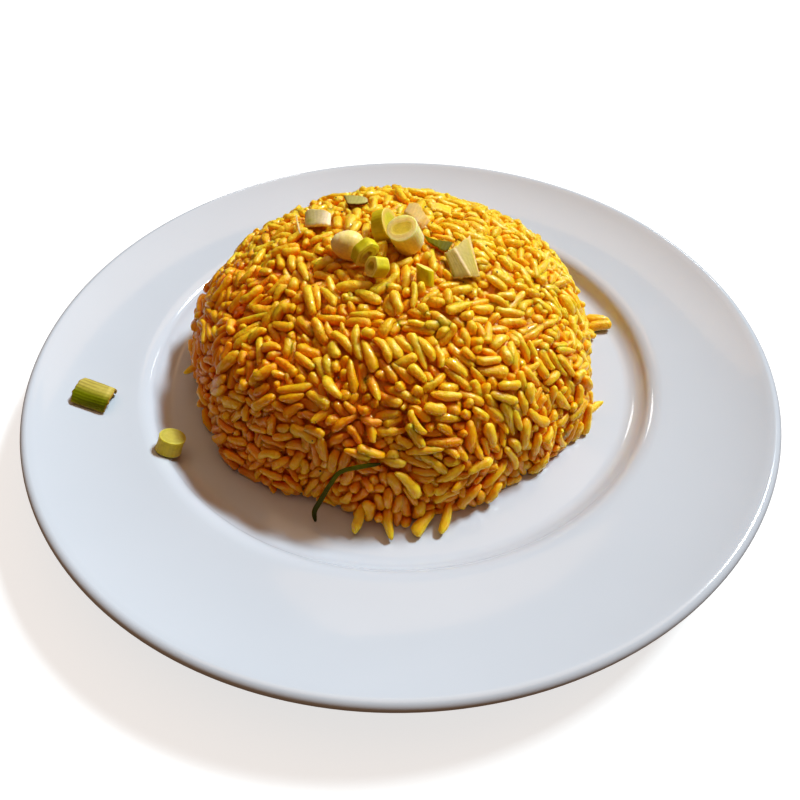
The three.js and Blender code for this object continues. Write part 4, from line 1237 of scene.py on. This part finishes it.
# Lamps aim at the plate: turn and height in degrees, the rest in metres and watts. Panes show only
# as glints in the glaze and on the oil.
lamps = {
    "window_light": {
        "turn": 36, "height": 49, "away": 4.0, "size": (0.85, 0.45),
        "power": 250, "colour": (0.71, 0.85, 0.93),
    },
    "ceiling_light": {
        "turn": 59, "height": 76, "away": 2.47, "size": (2.5, 2.5),
        "power": 21.5, "colour": (1.0, 0.65, 0.38),
    },
    "pane_back": {
        "turn": 104, "height": 28, "away": 3.0, "size": (0.4, 0.36),
        "power": 3.6, "colour": (1.0, 0.98, 0.96), "glintOnly": True,
    },
    "pane_side": {
        "turn": 57, "height": 27, "away": 3.0, "size": (0.5, 0.3),
        "power": 4.2, "colour": (1.0, 0.98, 0.96), "glintOnly": True,
    },
}
floorShape = {
    "sweep": [(3.0, 0), (3.4, 0.06), (3.8, 0.3), (4.1, 0.7), (4.3, 1.4), (4.4, 7)],     # metres out and up
    "sides": 96, "below": 0.1,
    "shader": {
        "Base Color": (0.4, 0.4, 0.4, 1), "Roughness": 0.9, "Specular IOR Level": 0.0,
        "Emission Color": (1, 1, 1, 1), "Emission Strength": 0.72,
    },
}


def makeStudio():
    scene = bpy.context.scene
    scene.view_settings.view_transform = "Standard"
    eye = bpy.data.objects.new("camera", bpy.data.cameras.new("camera"))
    eye.data.lens = studio["lens"]
    eye.data.sensor_width = studio["sensor"]
    eye.data.clip_start = studio["nearest"]
    tilt = Matrix.Rotation(radians(studio["tilt"]), 4, "X")
    roll = Matrix.Rotation(radians(studio["roll"]), 4, "Z")
    eye.matrix_world = Matrix.Translation(Vector(studio["camera"]) * mm) @ tilt @ roll
    scene.collection.objects.link(eye)
    scene.camera = eye
    for name, lamp in lamps.items():
        light = bpy.data.objects.new(name, bpy.data.lights.new(name, "AREA"))
        light.data.energy = lamp["power"]
        light.data.color = lamp["colour"]
        light.data.shape = "RECTANGLE"
        light.data.size, light.data.size_y = lamp["size"]
        turn, up = radians(lamp["turn"]), radians(lamp["height"])
        towards = Vector((np.cos(turn) * np.cos(up), np.sin(turn) * np.cos(up), np.sin(up)))
        light.location = towards * lamp["away"]
        light.rotation_euler = towards.to_track_quat("Z", "Y").to_euler()
        light.visible_diffuse = not lamp.get("glintOnly", False)
        scene.collection.objects.link(light)
    world = bpy.data.worlds.new("room_air")
    world.use_nodes = True
    scene.world = world
    sky = world.node_tree.nodes["Background"]
    sky.inputs["Color"].default_value = (*studio["air"], 1)
    sky.inputs["Strength"].default_value = studio["airStrength"]
    makeFloor()


def makeFloor():
    # a round floor that curves up into a pale wall all round
    sides, sweep = floorShape["sides"], floorShape["sweep"]
    made, _ = shaderMaterial("pale_floor", floorShape["shader"])
    points = np.concatenate([[(0, 0, 0)], ringPoints(sweep, sides)]) / mm - [0, 0, floorShape["below"]]
    quads, caps = shellFaces(len(sweep), sides)
    floor = toMesh("floor", points, [quads[:, ::-1], caps[:sides, ::-1]], made)
    floor.visible_shadow = False
    floor.visible_diffuse = False
    floor.visible_glossy = False


makeStudio()
print("studio ready")
makePlate()
print("plate made")
laidGrains, riceMaterial = makeRice()
makeStrays(riceMaterial)
print("rice made")
onionMaterials = {}
makeOnion()
print("onion made")
makePepper(laidGrains)
print("pepper made")
